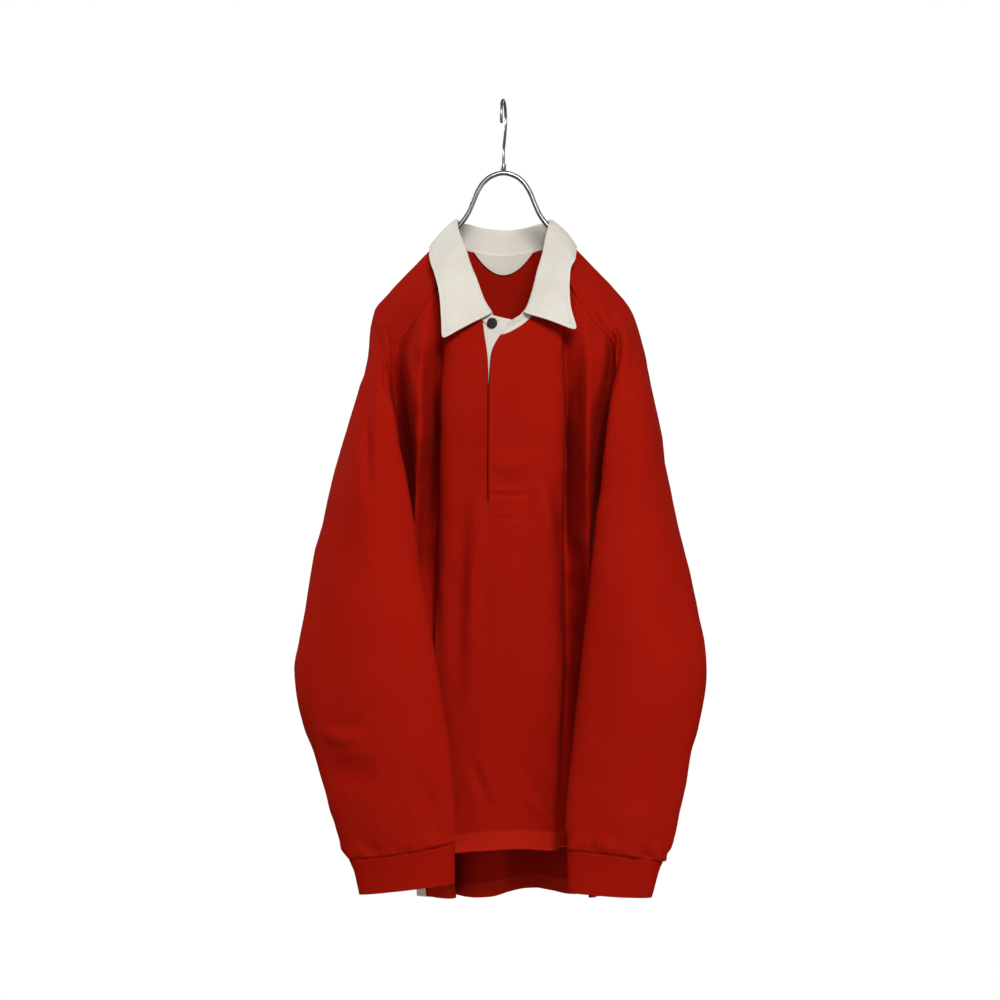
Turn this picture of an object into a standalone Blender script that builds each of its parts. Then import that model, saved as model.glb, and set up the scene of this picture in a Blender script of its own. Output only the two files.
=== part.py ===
"""Long-sleeved rugby shirt on a bent-wire hanger, as it hangs: unbuttoned at the neck.

The origin is the inside top of the hook. +Z is up, the shirt's front faces -Y, and
right and left are the wearer's, so the right sleeve is at -X. All sizes are metres.

Each panel of cloth is a grid of points through short tables. A table has one row for
each section of the shirt, and a column for each line that runs down the cloth, such as
the ridge or the valley of a fold. "down" says how low a section is: from -YOKE at the
neckline to 0 at the underarm, and below the underarm it is a distance in metres.
Panels that are sewn together share the points and the normals of their seam, and each
stops half a seam gap short of it.
"""

import math
from collections import namedtuple

import bmesh
import bpy
from mathutils import Vector

JERSEY = 0.0020
TWILL = 0.0016
CUFF_WALL = 0.0026
SEAM_GAP = 0.0003
LINING_GAP = 0.0005

YOKE = 0.29
UNDERARM_Z = -0.486
VENT_TOP = 0.379
FRONT_HEM = 0.409
BACK_HEM = 0.484
SLEEVE_END = 0.400

NECK_PATCH_HALF_WIDTH = 0.037
NECK_PATCH_DEPTH = 0.024
NECK_PATCH_RISE = 0.0012

BUTTON_RADIUS = 0.0066
BUTTON_THICKNESS = 0.0030
BUTTON_DISH = 0.0007
BUTTON_LIFT = 0.0014
BUTTON_X = -0.0135
BUTTON_Z = -0.2768
BUTTON_SIDES = 20

WIRE_RADIUS = 0.0030
HOOK_RADIUS = 0.0019
HOOK_INNER_RADIUS = 0.0180
HOOK_TURN = math.radians(8)
FERRULE_RADIUS = 0.0034
FERRULE_LENGTH = 0.0075
ROD_SIDES = 8

RED = (0.42, 0.012, 0.006)
WHITE = (0.78, 0.74, 0.66)
RUBBER = (0.012, 0.012, 0.011)
CHROME = (0.72, 0.72, 0.71)

UPPER_DOWNS = (-0.29, -0.265, -0.24, -0.215, -0.19, -0.155, -0.12, -0.085, -0.05, -0.022, 0.0)
BODY_DOWNS = (0.02, 0.055, 0.09, 0.13, 0.17, 0.21, 0.25, 0.29, 0.33, VENT_TOP)
FRONT_DOWNS = UPPER_DOWNS + BODY_DOWNS + (FRONT_HEM,)
BACK_DOWNS = UPPER_DOWNS + BODY_DOWNS + (FRONT_HEM, 0.446, BACK_HEM)
SLEEVE_DOWNS = UPPER_DOWNS + (
    0.02, 0.055, 0.09, 0.13, 0.17, 0.21, 0.25, 0.29, 0.33, 0.365, 0.388, SLEEVE_END,
)

# Seams that two panels share: down, x, y, and the height of each at the neckline.
Seam = namedtuple("Seam", "down x y")
RAGLAN_FRONT_TOP = -0.195
RAGLAN_BACK_TOP = -0.1725
RAGLAN_FRONT_L = (
    Seam(-0.29, 0.0660, -0.036),
    Seam(-0.24, 0.0870, -0.058),
    Seam(-0.19, 0.1265, -0.052),
    Seam(-0.12, 0.1300, -0.024),
    Seam(-0.05, 0.1285, -0.003),
    Seam(0.00, 0.1280, 0.010),
)
RAGLAN_FRONT_R = (
    Seam(-0.29, -0.0660, -0.036),
    Seam(-0.24, -0.0870, -0.058),
    Seam(-0.19, -0.1230, -0.050),
    Seam(-0.12, -0.1280, -0.024),
    Seam(-0.05, -0.1280, -0.003),
    Seam(0.00, -0.1280, 0.010),
)
RAGLAN_BACK_L = (
    Seam(-0.29, 0.060, 0.031),
    Seam(-0.24, 0.076, 0.042),
    Seam(-0.19, 0.098, 0.049),
    Seam(-0.12, 0.116, 0.048),
    Seam(-0.05, 0.1265, 0.029),
    Seam(0.00, 0.128, 0.010),
)
RAGLAN_BACK_R = tuple(Seam(s.down, -s.x, s.y) for s in RAGLAN_BACK_L)
SIDE_L = (
    Seam(0.00, 0.1280, 0.0100),
    Seam(0.02, 0.1225, 0.0105),
    Seam(0.09, 0.1215, 0.0110),
    Seam(0.20, 0.1210, 0.0090),
    Seam(0.30, 0.1200, 0.0060),
    Seam(0.379, 0.1190, 0.0040),
)
SIDE_R = (
    Seam(0.00, -0.1280, 0.0100),
    Seam(0.02, -0.1225, 0.0105),
    Seam(0.09, -0.1200, 0.0110),
    Seam(0.20, -0.1150, 0.0100),
    Seam(0.30, -0.1110, 0.0070),
    Seam(0.379, -0.1085, 0.0055),
)
# The edges of the vents, which stand apart below the side seams.
FRONT_VENT_L = (SIDE_L[-1], Seam(0.409, 0.1160, -0.0030))
FRONT_VENT_R = (SIDE_R[-1], Seam(0.409, -0.1060, -0.0015))
BACK_VENT_L = (SIDE_L[-1], Seam(0.42, 0.1195, 0.0085), Seam(0.484, 0.1190, 0.0110))
BACK_VENT_R = (SIDE_R[-1], Seam(0.42, -0.1075, 0.0095), Seam(0.484, -0.1055, 0.0110))
SLEEVE_SEAM_L = (
    Seam(0.00, 0.128, 0.010),
    Seam(0.02, 0.1385, -0.002),
    Seam(0.10, 0.143, -0.035),
    Seam(0.20, 0.145, -0.078),
    Seam(0.30, 0.135, -0.105),
    Seam(0.388, 0.126, -0.113),
    Seam(0.40, 0.123, -0.116),
)
SLEEVE_SEAM_R = (
    Seam(0.00, -0.128, 0.010),
    Seam(0.02, -0.1385, -0.002),
    Seam(0.10, -0.143, -0.035),
    Seam(0.20, -0.140, -0.078),
    Seam(0.30, -0.128, -0.105),
    Seam(0.388, -0.113, -0.113),
    Seam(0.40, -0.110, -0.116),
)

# The placket slit: its under edge and its over edge.
Slit = namedtuple("Slit", "down under over")
SLIT = (
    Slit(-0.29, (-0.0255, -0.0835), (-0.0045, -0.0885)),
    Slit(-0.265, (-0.0226, -0.0885), (-0.0150, -0.0930)),
    Slit(-0.24, (-0.0196, -0.0930), (-0.0163, -0.0968)),
    Slit(-0.19, (-0.0178, -0.0990), (-0.0164, -0.1010)),
    Slit(-0.12, (-0.0178, -0.1025), (-0.0165, -0.1040)),
    Slit(-0.05, (-0.0181, -0.1040), (-0.0168, -0.1050)),
    Slit(0.00, (-0.0185, -0.1042), (-0.0165, -0.1048)),
    Slit(0.09, (-0.0220, -0.1030), (-0.0110, -0.1036)),
    Slit(0.20, (-0.0240, -0.1005), (-0.0080, -0.1012)),
    Slit(0.409, (-0.0230, -0.0990), (-0.0060, -0.0995)),
)

FrontRow = namedtuple(
    "FrontRow",
    "down flank_r ridge_r valley_r edge_r middle edge_l valley_l ridge_l flank_l",
)
FRONT = (
    FrontRow(-0.29, (-0.063, -0.042), (-0.058, -0.051), (-0.050, -0.063), (-0.038, -0.075),
             (0.014, -0.0885), (0.034, -0.081), (0.049, -0.066), (0.058, -0.052), (0.063, -0.043)),
    FrontRow(-0.24, (-0.085, -0.060), (-0.080, -0.065), (-0.068, -0.073), (-0.050, -0.084),
             (0.022, -0.095), (0.050, -0.085), (0.067, -0.074), (0.080, -0.066), (0.085, -0.061)),
    FrontRow(-0.19, (-0.116, -0.060), (-0.103, -0.069), (-0.085, -0.056), (-0.069, -0.086),
             (0.024, -0.100), (0.066, -0.087), (0.083, -0.063), (0.104, -0.070), (0.118, -0.062)),
    FrontRow(-0.12, (-0.116, -0.045), (-0.101, -0.074), (-0.084, -0.036), (-0.0715, -0.090),
             (0.026, -0.103), (0.069, -0.090), (0.081, -0.040), (0.100, -0.074), (0.117, -0.045)),
    FrontRow(-0.05, (-0.113, -0.033), (-0.1025, -0.073), (-0.086, -0.028), (-0.0715, -0.091),
             (0.026, -0.104), (0.0685, -0.091), (0.080, -0.031), (0.101, -0.073), (0.113, -0.033)),
    FrontRow(0.00, (-0.111, -0.027), (-0.104, -0.071), (-0.0875, -0.028), (-0.0715, -0.090),
             (0.026, -0.104), (0.0685, -0.090), (0.080, -0.028), (0.101, -0.071), (0.110, -0.027)),
    FrontRow(0.09, (-0.111, -0.026), (-0.106, -0.066), (-0.091, -0.042), (-0.074, -0.088),
             (0.026, -0.103), (0.069, -0.088), (0.079, -0.031), (0.101, -0.066), (0.109, -0.026)),
    FrontRow(0.20, (-0.109, -0.024), (-0.105, -0.058), (-0.092, -0.060), (-0.075, -0.084),
             (0.027, -0.101), (0.070, -0.086), (0.080, -0.034), (0.1015, -0.062), (0.111, -0.024)),
    FrontRow(0.30, (-0.105, -0.022), (-0.102, -0.052), (-0.091, -0.066), (-0.074, -0.080),
             (0.026, -0.099), (0.062, -0.084), (0.075, -0.038), (0.099, -0.058), (0.110, -0.024)),
    FrontRow(0.409, (-0.102, -0.020), (-0.098, -0.046), (-0.088, -0.063), (-0.072, -0.077),
             (0.024, -0.097), (0.057, -0.083), (0.069, -0.042), (0.096, -0.054), (0.110, -0.024)),
)
FRONT_NECK_Z = FrontRow(None, -0.204, -0.218, -0.238, -0.258, -0.2835, -0.268, -0.243, -0.219, -0.205)
FRONT_HEM_Z = FrontRow(None, -0.897, -0.900, -0.902, -0.902, -0.8935, -0.8985, -0.899, -0.898, -0.896)
SLIT_NECK_Z = (-0.273, -0.291)
SLIT_HEM_Z = (-0.8955, -0.8945)

BackRow = namedtuple("BackRow", "down near_l lobe_l valley_l spine valley_r lobe_r near_r")
BACK = (
    BackRow(-0.29, (0.054, 0.035), (0.044, 0.041), (0.026, 0.0465), (0.0, 0.050),
            (-0.026, 0.0465), (-0.044, 0.041), (-0.054, 0.035)),
    BackRow(-0.24, (0.068, 0.047), (0.056, 0.053), (0.032, 0.060), (0.0, 0.064),
            (-0.032, 0.060), (-0.056, 0.053), (-0.068, 0.047)),
    BackRow(-0.19, (0.088, 0.056), (0.072, 0.064), (0.040, 0.071), (0.002, 0.074),
            (-0.040, 0.071), (-0.072, 0.064), (-0.088, 0.056)),
    BackRow(-0.12, (0.107, 0.056), (0.092, 0.069), (0.055, 0.075), (0.006, 0.084),
            (-0.048, 0.077), (-0.090, 0.069), (-0.107, 0.056)),
    BackRow(-0.05, (0.124, 0.045), (0.108, 0.074), (0.068, 0.076), (0.012, 0.091),
            (-0.050, 0.077), (-0.103, 0.076), (-0.124, 0.045)),
    BackRow(0.00, (0.130, 0.031), (0.118, 0.082), (0.076, 0.070), (0.018, 0.096),
            (-0.049, 0.067), (-0.111, 0.088), (-0.130, 0.033)),
    BackRow(0.09, (0.126, 0.024), (0.130, 0.086), (0.082, 0.060), (0.024, 0.100),
            (-0.042, 0.055), (-0.112, 0.098), (-0.120, 0.024)),
    BackRow(0.20, (0.118, 0.013), (0.131, 0.093), (0.087, 0.042), (0.030, 0.095),
            (-0.036, 0.034), (-0.104, 0.104), (-0.099, 0.002)),
    BackRow(0.30, (0.1125, 0.005), (0.131, 0.096), (0.088, 0.030), (0.034, 0.086),
            (-0.034, 0.012), (-0.095, 0.105), (-0.077, -0.012)),
    BackRow(0.484, (0.105, -0.0085), (0.128, 0.095), (0.088, 0.014), (0.037, 0.073),
            (-0.034, -0.014), (-0.082, 0.101), (-0.051, -0.021)),
)
BACK_NECK_Z = BackRow(None, -0.1745, -0.1775, -0.181, -0.183, -0.181, -0.1775, -0.1745)

SleeveRow = namedtuple("SleeveRow", "down inner edge face outer rear")
SLEEVE_L = (
    SleeveRow(-0.29, (0.069, -0.028), (0.0715, -0.020), (0.074, -0.008), (0.073, 0.004), (0.068, 0.020)),
    SleeveRow(-0.24, (0.096, -0.050), (0.107, -0.039), (0.119, -0.017), (0.1258, 0.001), (0.114, 0.019)),
    SleeveRow(-0.215, (0.117, -0.056), (0.126, -0.052), (0.140, -0.028), (0.1530, 0.001), (0.134, 0.027)),
    SleeveRow(-0.19, (0.133, -0.060), (0.141, -0.061), (0.154, -0.036), (0.1620, 0.000), (0.148, 0.033)),
    SleeveRow(-0.12, (0.1325, -0.050), (0.1285, -0.080), (0.158, -0.076), (0.1775, -0.012), (0.164, 0.031)),
    SleeveRow(-0.05, (0.1310, -0.045), (0.1185, -0.093), (0.159, -0.101), (0.1900, -0.035), (0.170, 0.022)),
    SleeveRow(0.00, (0.1305, -0.045), (0.1108, -0.104), (0.156, -0.120), (0.1990, -0.055), (0.168, 0.006)),
    SleeveRow(0.02, (0.1300, -0.050), (0.1085, -0.108), (0.155, -0.125), (0.2035, -0.061), (0.170, -0.001)),
    SleeveRow(0.10, (0.1190, -0.078), (0.0996, -0.122), (0.152, -0.147), (0.2215, -0.085), (0.185, -0.036)),
    SleeveRow(0.20, (0.1080, -0.101), (0.0877, -0.135), (0.152, -0.167), (0.2355, -0.118), (0.195, -0.082)),
    SleeveRow(0.30, (0.0980, -0.116), (0.0769, -0.139), (0.144, -0.163), (0.2135, -0.128), (0.180, -0.105)),
    SleeveRow(0.388, (0.0900, -0.119), (0.0722, -0.139), (0.132, -0.156), (0.1905, -0.132), (0.163, -0.113)),
    SleeveRow(0.400, (0.0895, -0.121), (0.0740, -0.137), (0.128, -0.151), (0.1825, -0.131), (0.158, -0.116)),
)
SLEEVE_R = (
    SleeveRow(-0.29, (-0.069, -0.028), (-0.0715, -0.020), (-0.074, -0.008), (-0.073, 0.004), (-0.068, 0.020)),
    SleeveRow(-0.24, (-0.096, -0.050), (-0.107, -0.039), (-0.119, -0.017), (-0.1255, 0.001), (-0.114, 0.019)),
    SleeveRow(-0.215, (-0.117, -0.053), (-0.129, -0.042), (-0.1415, -0.019), (-0.1525, 0.001), (-0.134, 0.027)),
    SleeveRow(-0.19, (-0.136, -0.051), (-0.147, -0.043), (-0.1570, -0.022), (-0.1620, 0.001), (-0.148, 0.033)),
    SleeveRow(-0.12, (-0.1340, -0.045), (-0.1358, -0.076), (-0.161, -0.067), (-0.1730, -0.012), (-0.161, 0.031)),
    SleeveRow(-0.05, (-0.1320, -0.045), (-0.1197, -0.091), (-0.161, -0.101), (-0.1950, -0.035), (-0.173, 0.022)),
    SleeveRow(0.00, (-0.1305, -0.045), (-0.1095, -0.103), (-0.158, -0.120), (-0.2076, -0.055), (-0.171, 0.006)),
    SleeveRow(0.02, (-0.1300, -0.050), (-0.1060, -0.108), (-0.157, -0.125), (-0.2120, -0.061), (-0.173, -0.001)),
    SleeveRow(0.10, (-0.1150, -0.078), (-0.0931, -0.122), (-0.152, -0.148), (-0.2296, -0.085), (-0.188, -0.036)),
    SleeveRow(0.20, (-0.1010, -0.101), (-0.0754, -0.135), (-0.150, -0.168), (-0.2426, -0.118), (-0.197, -0.082)),
    SleeveRow(0.30, (-0.0850, -0.116), (-0.0606, -0.139), (-0.136, -0.164), (-0.2140, -0.128), (-0.176, -0.105)),
    SleeveRow(0.388, (-0.0760, -0.119), (-0.0555, -0.139), (-0.118, -0.156), (-0.1830, -0.132), (-0.154, -0.113)),
    SleeveRow(0.400, (-0.0755, -0.121), (-0.0560, -0.137), (-0.114, -0.151), (-0.1760, -0.131), (-0.148, -0.116)),
)
SLEEVE_NECK_Z = SleeveRow(None, -0.1875, -0.181, -0.170, -0.1640, -0.1675)
SLEEVE_CUFF_Z = {
    "_l": SleeveRow(None, -0.886, -0.888, -0.893, -0.904, -0.898),
    "_r": SleeveRow(None, -0.884, -0.8805, -0.892, -0.9015, -0.897),
}
SLEEVE_SEAM_END_Z = -0.890

# The cuff's lower edge: x and y of each line, and its height.
CuffEdge = namedtuple("CuffEdge", "seam inner edge face outer rear")
CUFF_EDGE = {
    "_l": CuffEdge((0.118, -0.118, -0.940), (0.088, -0.122, -0.9395), (0.0740, -0.137, -0.9400),
                   (0.120, -0.149, -0.944), (0.1695, -0.133, -0.9475), (0.148, -0.119, -0.945)),
    "_r": CuffEdge((-0.110, -0.118, -0.935), (-0.073, -0.122, -0.9315), (-0.0565, -0.137, -0.9295),
                   (-0.112, -0.149, -0.937), (-0.1680, -0.133, -0.9440), (-0.142, -0.119, -0.940)),
}

# The collar, by the place on the neckline that it is sewn to: its roll, and the edge of its fall.
CollarRow = namedtuple("CollarRow", "panel line roll edge")
COLLAR = (
    CollarRow("placket_under", "end", (0.0115, -0.0850, -0.2725), None),
    CollarRow("placket_under", "over", (-0.0030, -0.0836, -0.2695), None),
    CollarRow("placket_under", "between", (-0.0135, -0.0812, -0.2665), (-0.0705, -0.0950, -0.2945)),
    CollarRow("front", "under", (-0.0180, -0.0785, -0.2600), (-0.0720, -0.0950, -0.2895)),
    CollarRow("front", "edge_r", (-0.0250, -0.0735, -0.2475), (-0.0730, -0.0940, -0.2800)),
    CollarRow("front", "valley_r", (-0.0325, -0.0638, -0.2245), (-0.0742, -0.0915, -0.2660)),
    CollarRow("front", "ridge_r", (-0.0405, -0.0525, -0.2040), (-0.0755, -0.0860, -0.2490)),
    CollarRow("front", "seam_r", (-0.0475, -0.0370, -0.1820), (-0.0785, -0.0760, -0.2310)),
    CollarRow("sleeve_right", "edge", (-0.0525, -0.0240, -0.1675), (-0.0830, -0.0620, -0.2145)),
    CollarRow("sleeve_right", "face", (-0.0555, -0.0125, -0.1555), (-0.0880, -0.0450, -0.1990)),
    CollarRow("sleeve_right", "outer", (-0.0565, 0.0010, -0.1462), (-0.0905, -0.0100, -0.1800)),
    CollarRow("sleeve_right", "rear", (-0.0540, 0.0160, -0.1458), (-0.0895, 0.0180, -0.1800)),
    CollarRow("back", "seam_r", (-0.0485, 0.0300, -0.1468), (-0.0845, 0.0420, -0.1930)),
    CollarRow("back", "lobe_r", (-0.0365, 0.0430, -0.1490), (-0.0680, 0.0600, -0.2050)),
    CollarRow("back", "valley_r", (-0.0220, 0.0520, -0.1515), (-0.0410, 0.0715, -0.2135)),
    CollarRow("back", "spine", (0.0000, 0.0565, -0.1530), (0.0000, 0.0770, -0.2170)),
    CollarRow("back", "valley_l", (0.0220, 0.0520, -0.1515), (0.0410, 0.0715, -0.2135)),
    CollarRow("back", "lobe_l", (0.0360, 0.0430, -0.1490), (0.0680, 0.0600, -0.2050)),
    CollarRow("back", "seam_l", (0.0480, 0.0300, -0.1468), (0.0840, 0.0420, -0.1930)),
    CollarRow("sleeve_left", "rear", (0.0535, 0.0160, -0.1458), (0.0885, 0.0180, -0.1800)),
    CollarRow("sleeve_left", "outer", (0.0560, 0.0010, -0.1462), (0.0890, -0.0110, -0.1795)),
    CollarRow("sleeve_left", "face", (0.0550, -0.0125, -0.1560), (0.0860, -0.0420, -0.1960)),
    CollarRow("sleeve_left", "edge", (0.0520, -0.0240, -0.1690), (0.0810, -0.0560, -0.2070)),
    CollarRow("front", "seam_l", (0.0480, -0.0380, -0.1880), (0.0792, -0.0680, -0.2190)),
    CollarRow("front", "ridge_l", (0.0420, -0.0520, -0.2100), (0.0783, -0.0790, -0.2340)),
    CollarRow("front", "valley_l", (0.0360, -0.0670, -0.2350), (0.0785, -0.0870, -0.2490)),
    CollarRow("front", "edge_l", (0.0290, -0.0790, -0.2560), (0.0812, -0.0925, -0.2660)),
    CollarRow("front", "middle", (0.0210, -0.0868, -0.2660), (0.0860, -0.0945, -0.2850)),
    CollarRow("front", "over", (0.0095, -0.0915, -0.2725), None),
)

# The bent rod, from the middle of its arch down to one shoulder.
WIRE_ARCH = (
    (0.0000, -0.0867), (0.0110, -0.0890), (0.0220, -0.0958), (0.0310, -0.1080),
    (0.0390, -0.1265), (0.0450, -0.1390), (0.0540, -0.1510), (0.0900, -0.1900),
    (0.1450, -0.2484),
)
STEM = ((0.0, -0.0750), (0.0, -0.0600), (0.0080, -0.0470), (0.0160, -0.0330))


def clear_scene():
    for thing in list(bpy.data.objects):
        bpy.data.objects.remove(thing)


def material(name, colour, roughness, metallic=0.0):
    made = bpy.data.materials.new(name)
    made.use_nodes = True
    shader = made.node_tree.nodes["Principled BSDF"]
    shader.inputs["Base Color"].default_value = (*colour, 1.0)
    shader.inputs["Roughness"].default_value = roughness
    shader.inputs["Metallic"].default_value = metallic
    return made


class Curve:
    """A smooth curve through points, each at its own knot."""

    def __init__(self, knots, points):
        self.knots = knots
        self.points = [Vector(point) for point in points]
        chords = [
            (self.points[i + 1] - self.points[i]) / (knots[i + 1] - knots[i])
            for i in range(len(knots) - 1)
        ]
        self.slopes = [chords[0]]
        for i in range(1, len(knots) - 1):
            before, after = knots[i] - knots[i - 1], knots[i + 1] - knots[i]
            self.slopes.append((chords[i - 1] * after + chords[i] * before) / (before + after))
        self.slopes.append(chords[-1])

    def at(self, knot):
        i = max(k for k in range(len(self.knots) - 1) if k == 0 or self.knots[k] <= knot)
        width = self.knots[i + 1] - self.knots[i]
        t = (knot - self.knots[i]) / width
        return (
            self.points[i] * (2 * t**3 - 3 * t**2 + 1)
            + self.slopes[i] * width * (t**3 - 2 * t**2 + t)
            + self.points[i + 1] * (3 * t**2 - 2 * t**3)
            + self.slopes[i + 1] * width * (t**3 - t**2)
        )


def height(down, neck_z, end_z, end_down):
    if down < 0:
        return UNDERARM_Z + (neck_z - UNDERARM_Z) * (-down / YOKE)
    return UNDERARM_Z + (end_z - UNDERARM_Z) * (down / end_down)


def line_down(knots, points, neck_z, end_z, end_down):
    """A line that runs down the cloth, as a function of down."""
    curve = Curve(knots, [(x, y, 0.0) for x, y in points])

    def point(down):
        x, y, _ = curve.at(down)
        return Vector((x, y, height(down, neck_z, end_z, end_down)))

    return point


def seam_line(parts, neck_z, end_z, end_down):
    """A panel's side, from the stretches of seam that follow one another down it."""
    curves = [
        (part[-1].down, line_down([s.down for s in part], [(s.x, s.y) for s in part], neck_z, end_z, end_down))
        for part in parts
    ]

    def point(down):
        for end, curve in curves:
            if down <= end:
                return curve(down)
        return curves[-1][1](down)

    return point


def table_lines(table, neck_z, end_z, end_down):
    """The lines of a table's columns, by name."""
    downs = [row.down for row in table]
    return {
        name: line_down(
            downs,
            [getattr(row, name) for row in table],
            getattr(neck_z, name),
            getattr(end_z, name),
            end_down,
        )
        for name in table[0]._fields[1:]
    }


def points_across(stations, divisions, before, after):
    """Points on a smooth curve through the stations, which bends towards its neighbours."""
    chain = [p for p in (before, *stations, after) if p is not None]
    first = 0 if before is None else 1
    knots = [0.0]
    for a, b in zip(chain, chain[1:]):
        knots.append(knots[-1] + (b - a).length)
    curve = Curve(knots, chain)
    made = []
    for i, count in enumerate(divisions):
        start, end = knots[first + i], knots[first + i + 1]
        made += [curve.at(start + (end - start) * step / count) for step in range(count)]
    made.append(chain[first + len(divisions)].copy())
    return made


def front_lines():
    lines = table_lines(FRONT, FRONT_NECK_Z, FRONT_HEM_Z, FRONT_HEM)
    downs = [row.down for row in SLIT]
    for name, side in (("under", 0), ("over", 1)):
        lines[name] = line_down(
            downs, [getattr(row, name) for row in SLIT], SLIT_NECK_Z[side], SLIT_HEM_Z[side], FRONT_HEM
        )
    hem = UNDERARM_Z - FRONT_HEM
    right = (RAGLAN_FRONT_R, SIDE_R, FRONT_VENT_R)
    left = (RAGLAN_FRONT_L, SIDE_L, FRONT_VENT_L)
    lines["seam_r"] = seam_line(right, RAGLAN_FRONT_TOP, hem, FRONT_HEM)
    lines["seam_l"] = seam_line(left, RAGLAN_FRONT_TOP, hem, FRONT_HEM)
    return lines


def back_lines():
    hem = UNDERARM_Z - BACK_HEM
    hem_z = BackRow(*[hem] * len(BackRow._fields))
    lines = table_lines(BACK, BACK_NECK_Z, hem_z, BACK_HEM)
    right = (RAGLAN_BACK_R, SIDE_R, BACK_VENT_R)
    left = (RAGLAN_BACK_L, SIDE_L, BACK_VENT_L)
    lines["seam_r"] = seam_line(right, RAGLAN_BACK_TOP, hem, BACK_HEM)
    lines["seam_l"] = seam_line(left, RAGLAN_BACK_TOP, hem, BACK_HEM)
    return lines


def sleeve_lines(side, table, raglan_front, raglan_back, seam):
    lines = table_lines(table, SLEEVE_NECK_Z, SLEEVE_CUFF_Z[side], SLEEVE_END)
    end = SLEEVE_SEAM_END_Z
    lines["front"] = seam_line((raglan_front, seam), RAGLAN_FRONT_TOP, end, SLEEVE_END)
    lines["back"] = seam_line((raglan_back, seam), RAGLAN_BACK_TOP, end, SLEEVE_END)
    return lines


FRONT_ORDER = (
    "seam_r", "flank_r", "ridge_r", "valley_r", "edge_r", "under",
    "over", "middle", "edge_l", "valley_l", "ridge_l", "flank_l", "seam_l",
)
FRONT_DIVISIONS = (2, 2, 3, 3, 3, 1, 2, 2, 3, 3, 2, 2)
SLIT_COLUMN = 13
BACK_ORDER = (
    "seam_l", "near_l", "lobe_l", "valley_l", "spine", "valley_r", "lobe_r", "near_r", "seam_r",
)
BACK_DIVISIONS = (3, 4, 3, 3, 3, 3, 4, 3)
SLEEVE_ORDER = ("front", "inner", "edge", "face", "outer", "rear", "back")
SLEEVE_DIVISIONS = (3, 3, 4, 4, 4, 4)


def grid(lines, order, divisions, downs, neighbours):
    """Rows of points. neighbours(down) gives the points past the two sides, or None."""
    rows = []
    for down in downs:
        stations = [lines[name](down) for name in order]
        rows.append(points_across(stations, divisions, *neighbours(down)))
    return rows


def body_neighbours(above, below, down):
    """The lines that carry on past a body panel's sides: the sleeves', or the other panel's."""
    if down < 0:
        return [line(down) for line in above]
    if 0 < down <= VENT_TOP:
        return [line(down) for line in below]
    return [None, None]


def sleeve_neighbours(lines, body_front, body_back, down):
    if down < 0:
        return [body_front(down), body_back(down)]
    if down > 0:
        return [lines["rear"](down), lines["inner"](down)]
    return [None, None]


def all_grids():
    """The mid-surface of each panel of jersey."""
    front, back = front_lines(), back_lines()
    left = sleeve_lines("_l", SLEEVE_L, RAGLAN_FRONT_L, RAGLAN_BACK_L, SLEEVE_SEAM_L)
    right = sleeve_lines("_r", SLEEVE_R, RAGLAN_FRONT_R, RAGLAN_BACK_R, SLEEVE_SEAM_R)
    grids = {
        "front": grid(
            front, FRONT_ORDER, FRONT_DIVISIONS, FRONT_DOWNS,
            lambda down: body_neighbours(
                (right["inner"], left["inner"]), (back["near_r"], back["near_l"]), down
            ),
        ),
        "back": grid(
            back, BACK_ORDER, BACK_DIVISIONS, BACK_DOWNS,
            lambda down: body_neighbours(
                (left["rear"], right["rear"]), (front["flank_l"], front["flank_r"]), down
            ),
        ),
        "sleeve_left": grid(
            left, SLEEVE_ORDER, SLEEVE_DIVISIONS, SLEEVE_DOWNS,
            lambda down: sleeve_neighbours(left, front["flank_l"], back["near_l"], down),
        ),
        "sleeve_right": grid(
            right, SLEEVE_ORDER, SLEEVE_DIVISIONS, SLEEVE_DOWNS,
            lambda down: sleeve_neighbours(right, front["flank_r"], back["near_r"], down),
        ),
    }
    for side in ("left", "right"):
        grids["cuff_" + side] = cuff_grid("_" + side[0], grids["sleeve_" + side][-1])
    for name in ("sleeve_right", "cuff_right"):
        grids[name] = [row[::-1] for row in grids[name]]
    return grids


def cuff_grid(side, top):
    """A cuff from the sleeve's last row of points down to its own edge."""
    edge = CUFF_EDGE[side]
    stations = [Vector(p) for p in (edge.seam, edge.inner, edge.edge, edge.face, edge.outer, edge.rear)]
    stations.append(stations[0].copy())
    bottom = points_across(stations, SLEEVE_DIVISIONS, stations[-2], stations[1])
    return [[a.lerp(b, share) for a, b in zip(top, bottom)] for share in (0.0, 0.5, 1.0)]


def lining(rows, normals, columns):
    """Rows of points on the inner side of a panel, at fractional columns of its grid."""
    depth = (JERSEY + TWILL) / 2 + LINING_GAP
    made = []
    for points, tilts in zip(rows, normals):
        row = []
        for column in columns:
            c = min(int(column), len(points) - 2)
            tilt = tilts[c].normalized().lerp(tilts[c + 1].normalized(), column - c)
            row.append(points[c].lerp(points[c + 1], column - c) - tilt.normalized() * depth)
        made.append(row)
    return made


BACK_COLUMNS = sum(BACK_DIVISIONS)
VENT_TAPE_COLUMNS = {
    "vent_tape_left": (0.05, 0.5, 1),
    "vent_tape_right": (BACK_COLUMNS - 0.62, BACK_COLUMNS - 0.35, BACK_COLUMNS - 0.03),
}
VENT_TAPE_DROP = 0.5
FACING_COLUMNS = (12.35, 13, 13.5, 14, 15, 15.4)
FACING_LINES = {"edge": 0, "under": 1, "between": 2, "over": 3, "end": 5}
FACING_DROP = 0.06


def facing_grid(front, normals):
    """The facing behind the slit. Its edge under the front lies a little below the neckline."""
    count = len(UPPER_DOWNS) + 1
    rows = lining(front[:count], normals[:count], FACING_COLUMNS)
    for c in (FACING_LINES["edge"], FACING_LINES["under"]):
        rows[0][c] = rows[0][c].lerp(rows[1][c], FACING_DROP)
    return rows


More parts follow.
